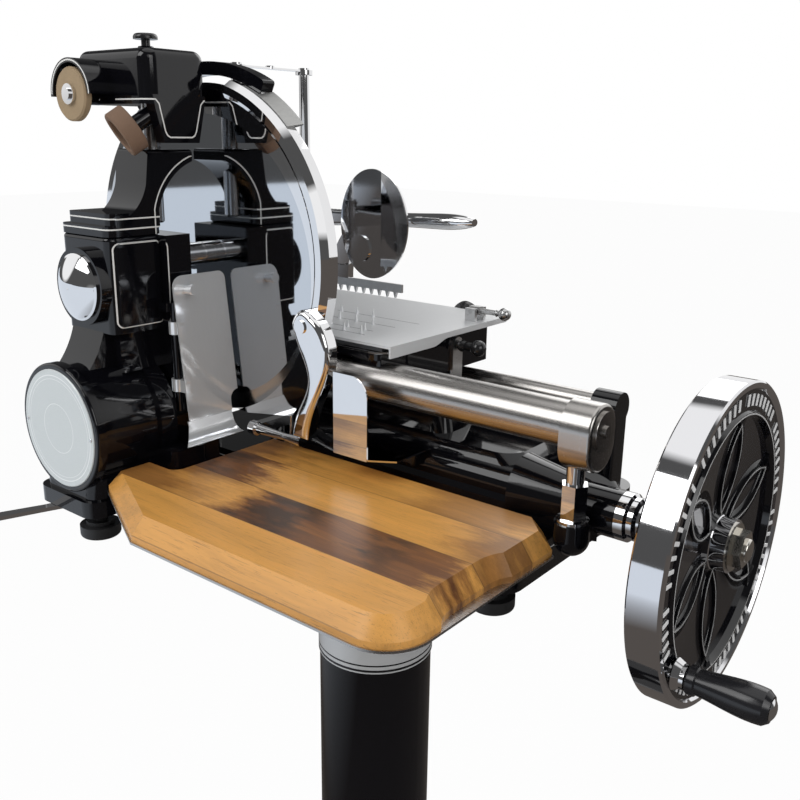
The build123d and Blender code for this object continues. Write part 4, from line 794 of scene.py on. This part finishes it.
class SLICER_OT_rim_bars(bpy.types.Operator):
    """Raised bars round the flywheel's recessed band"""

    bl_idname = "slicer.rim_bars"
    bl_label = "Rim bars"

    def execute(self, context):
        trim = context.scene.slicer.trim
        centre = middle("flywheel")
        outer = half("flywheel").z
        face = centre.x + half("flywheel").x - band_depth
        band_low = outer * band_inner
        band_high = outer * band_outer
        crank = middle("crank_spindle")
        crank_angle = math.atan2(crank.z - centre.z, crank.y - centre.y)
        reach = (band_low + band_high) / 2
        pick_none()
        bpy.ops.mesh.primitive_cube_add(size=1)
        pattern = context.object
        pattern.scale = (trim.bar_height, band_high - band_low - 0.003, bar_width)
        bpy.ops.object.transform_apply(location=False, rotation=False, scale=True)
        bpy.ops.object.mode_set(mode="EDIT")
        bpy.ops.mesh.select_all(action="SELECT")
        bpy.ops.mesh.bevel(offset=bar_bevel, segments=1, affect="EDGES")
        bpy.ops.object.mode_set(mode="OBJECT")
        bars = []
        for k in range(trim.rim_bars):
            angle = 2 * math.pi * k / trim.rim_bars
            apart = abs((angle - crank_angle + math.pi) % (2 * math.pi) - math.pi)
            if apart < crank_clear or k % bars_in_group == 0:
                continue
            bar = pattern.copy()
            bar.data = pattern.data.copy()
            context.collection.objects.link(bar)
            bar.rotation_euler = (angle, 0, 0)
            bar.location = (
                face + trim.bar_height / 2,
                centre.y + reach * math.cos(angle),
                centre.z + reach * math.sin(angle),
            )
            bars.append(bar)
        bpy.data.objects.remove(pattern)
        settle(join(bars), "rim_bars", "flywheel", moulded("bar_metal", (0.6, 0.6, 0.6), 0.2))
        return {"FINISHED"}


# places of the small screws, out from the middle of the dome and of the badge plate
ring_screw_reach = 0.0272
ring_screw_depth = 0.0095
plate_screw_reach = 0.0525
screw_height = 0.001
forward = (0, -1, 0)


class SLICER_OT_screws(bpy.types.Operator):
    """Small slotted screws on the dome's ring and the badge plate"""

    bl_idname = "slicer.screws"
    bl_label = "Screws"

    def execute(self, context):
        radius = context.scene.slicer.trim.screw_radius
        metal = chrome("screw_metal", (0.7, 0.7, 0.7), 0.12)
        dome_low = corners("dome")[0]
        plate_low = corners("badge_plate")[0]
        dome = middle("dome")
        plate = middle("badge_plate")
        heads = []
        for way in (-1, 1):
            on_ring = (dome.x + way * ring_screw_reach, dome_low.y + ring_screw_depth, dome.z)
            heads.append(slotted_screw(on_ring, forward, radius - 0.0002, screw_height))
            on_plate = (plate.x + way * plate_screw_reach, plate_low.y, plate.z)
            heads.append(slotted_screw(on_plate, forward, radius, screw_height))
        settle(join(heads), "front_screws", "frame", metal)
        return {"FINISHED"}


class SLICER_OT_stage(bpy.types.Operator):
    """Pale floor that glows with a painted reflection of light for glossy rays, soft lamps and the camera at
    the photograph's angle
    """

    bl_idname = "slicer.stage"
    bl_label = "Stage"

    def execute(self, context):
        levels = context.scene.slicer.stage
        pick_none()
        bpy.ops.mesh.primitive_plane_add(size=30, location=(0, 0, 0))
        floor = context.object
        floor.name = "floor"
        paint = Paint("floor_paint")
        paint.set(Base_Color=(0.86, 0.86, 0.86), Roughness=0.7)
        rays = paint.node("ShaderNodeLightPath")
        seen = Wire(paint.tree, rays.outputs["Is Camera Ray"])
        glossy = Wire(paint.tree, rays.outputs["Is Glossy Ray"])
        through = Wire(paint.tree, rays.outputs["Is Transmission Ray"])
        shiny = (glossy + through).clamped()
        # painted light: for glossy rays the floor glows with a painted reflection, a bright bluish pool of
        # light towards the front left on dark brown, which the chrome and enamel mirror
        painted_light_pool = ((-paint.x - paint.y * 0.8 - 0.7) * 0.8).clamped()
        painted_floor_reflection = paint.mix(painted_light_pool, (0.10, 0.088, 0.08), (0.74, 0.8, 0.88))
        white = paint.mix(shiny, (1, 1, 1), painted_floor_reflection)
        glow = paint.node("ShaderNodeEmission", Color=white)
        mixer = paint.tree.nodes.new("ShaderNodeMixShader")
        plug(paint.tree, mixer.inputs[0], (seen * 0.95 + shiny).clamped())
        paint.tree.links.new(paint.shader.outputs[0], mixer.inputs[1])
        paint.tree.links.new(glow.outputs[0], mixer.inputs[2])
        paint.tree.links.new(mixer.outputs[0], paint.tree.nodes["Material Output"].inputs[0])
        floor.data.materials.append(paint.material)

        world = bpy.data.worlds.new("surround")
        world.use_nodes = True
        context.scene.world = world
        tree = world.node_tree
        back = tree.nodes["Background"]
        rays = tree.nodes.new("ShaderNodeLightPath")
        place = tree.nodes.new("ShaderNodeTexCoord")
        split = tree.nodes.new("ShaderNodeSeparateXYZ")
        tree.links.new(place.outputs["Generated"], split.inputs[0])
        across, towards, lift = (Wire(tree, slot) for slot in split.outputs)

        def soft_box(x, y, z, spread, edge):
            """Brightness of a round soft light seen in one direction."""
            length = math.sqrt(x * x + y * y + z * z)
            along = (across * x + towards * y + lift * z) / length
            return ((along - math.cos(math.radians(spread))) / edge).clamped()

        shine = soft_box(-0.9, -0.35, 0.35, 24, 0.03) + soft_box(0.95, -0.5, 0.45, 17, 0.02)
        shine = shine + soft_box(0, 0.1, 1, 33, 0.05) + soft_box(0.2, 1, 0.12, 52, 0.1) * 0.85
        shine = shine + soft_box(-0.25, -1, 0.75, 14, 0.02) + soft_box(0.1, -1, -0.2, 15, 0.05) * 0.35
        shine = (shine + 0.085).clamped()
        seen = Wire(tree, rays.outputs["Is Camera Ray"])
        glossy = Wire(tree, rays.outputs["Is Glossy Ray"])
        level = seen + (1 - seen) * (glossy * shine + (1 - glossy) * levels.world_level)
        plug(tree, back.inputs["Strength"], level)
        back.inputs["Color"].default_value = (1, 1, 1, 1)

        for name, place, power, size in (
            ("key", (-0.9, -1.9, 2.6), levels.key_power, 1.6),
            ("fill", (2.4, -0.6, 2.0), levels.fill_power, 1.4),
            ("rim", (-0.4, 2.2, 2.3), levels.fill_power, 1.6),
        ):
            bpy.ops.object.light_add(type="AREA", location=place)
            lamp = context.object
            lamp.name = name
            lamp.data.energy = power
            lamp.data.size = size
            aim = Vector((0, 0, 0.95)) - Vector(place)
            lamp.rotation_euler = aim.to_track_quat("-Z", "Y").to_euler()

        eye = Vector((0.5242, -0.6234, 1.1301))
        ahead = Vector((-0.598, 0.750, -0.281)).normalized()
        right = Vector((0.779, 0.627, 0.0137))
        right = (right - ahead * right.dot(ahead)).normalized()
        up = right.cross(ahead)
        bpy.ops.object.camera_add()
        camera = context.object
        camera.matrix_world = Matrix((
            (right.x, up.x, -ahead.x, eye.x),
            (right.y, up.y, -ahead.y, eye.y),
            (right.z, up.z, -ahead.z, eye.z),
            (0, 0, 0, 1),
        ))
        focal_pixels = 910
        image_pixels = 800
        camera.data.sensor_width = 36
        camera.data.lens = focal_pixels / image_pixels * camera.data.sensor_width
        camera.data.clip_start = 0.01
        context.scene.camera = camera
        context.scene.view_settings.view_transform = "Standard"
        return {"FINISHED"}


class SLICER_PT_panel(bpy.types.Panel):
    """Steps that dress the slicer, and their settings"""

    bl_idname = "SLICER_PT_panel"
    bl_label = "Slicer"
    bl_space_type = "VIEW_3D"
    bl_region_type = "UI"
    bl_category = "Slicer"

    def draw(self, context):
        settings = context.scene.slicer
        for group in (settings.finish, settings.trim, settings.stage):
            box = self.layout.box()
            for key in group.__annotations__:
                box.prop(group, key)
        for step in steps:
            self.layout.operator(step.bl_idname)


steps = (SLICER_OT_finishes, SLICER_OT_rim_bars, SLICER_OT_screws, SLICER_OT_stage)
classes = (FinishSettings, TrimSettings, StageSettings, SlicerSettings, *steps, SLICER_PT_panel)


def register():
    for cls in classes:
        bpy.utils.register_class(cls)
    bpy.types.Scene.slicer = PointerProperty(type=SlicerSettings)


def unregister():
    del bpy.types.Scene.slicer
    for cls in reversed(classes):
        bpy.utils.unregister_class(cls)


def main():
    register()
    for step in steps:
        group, name = step.bl_idname.split(".")
        getattr(getattr(bpy.ops, group), name)()


if __name__ == "__main__":
    main()
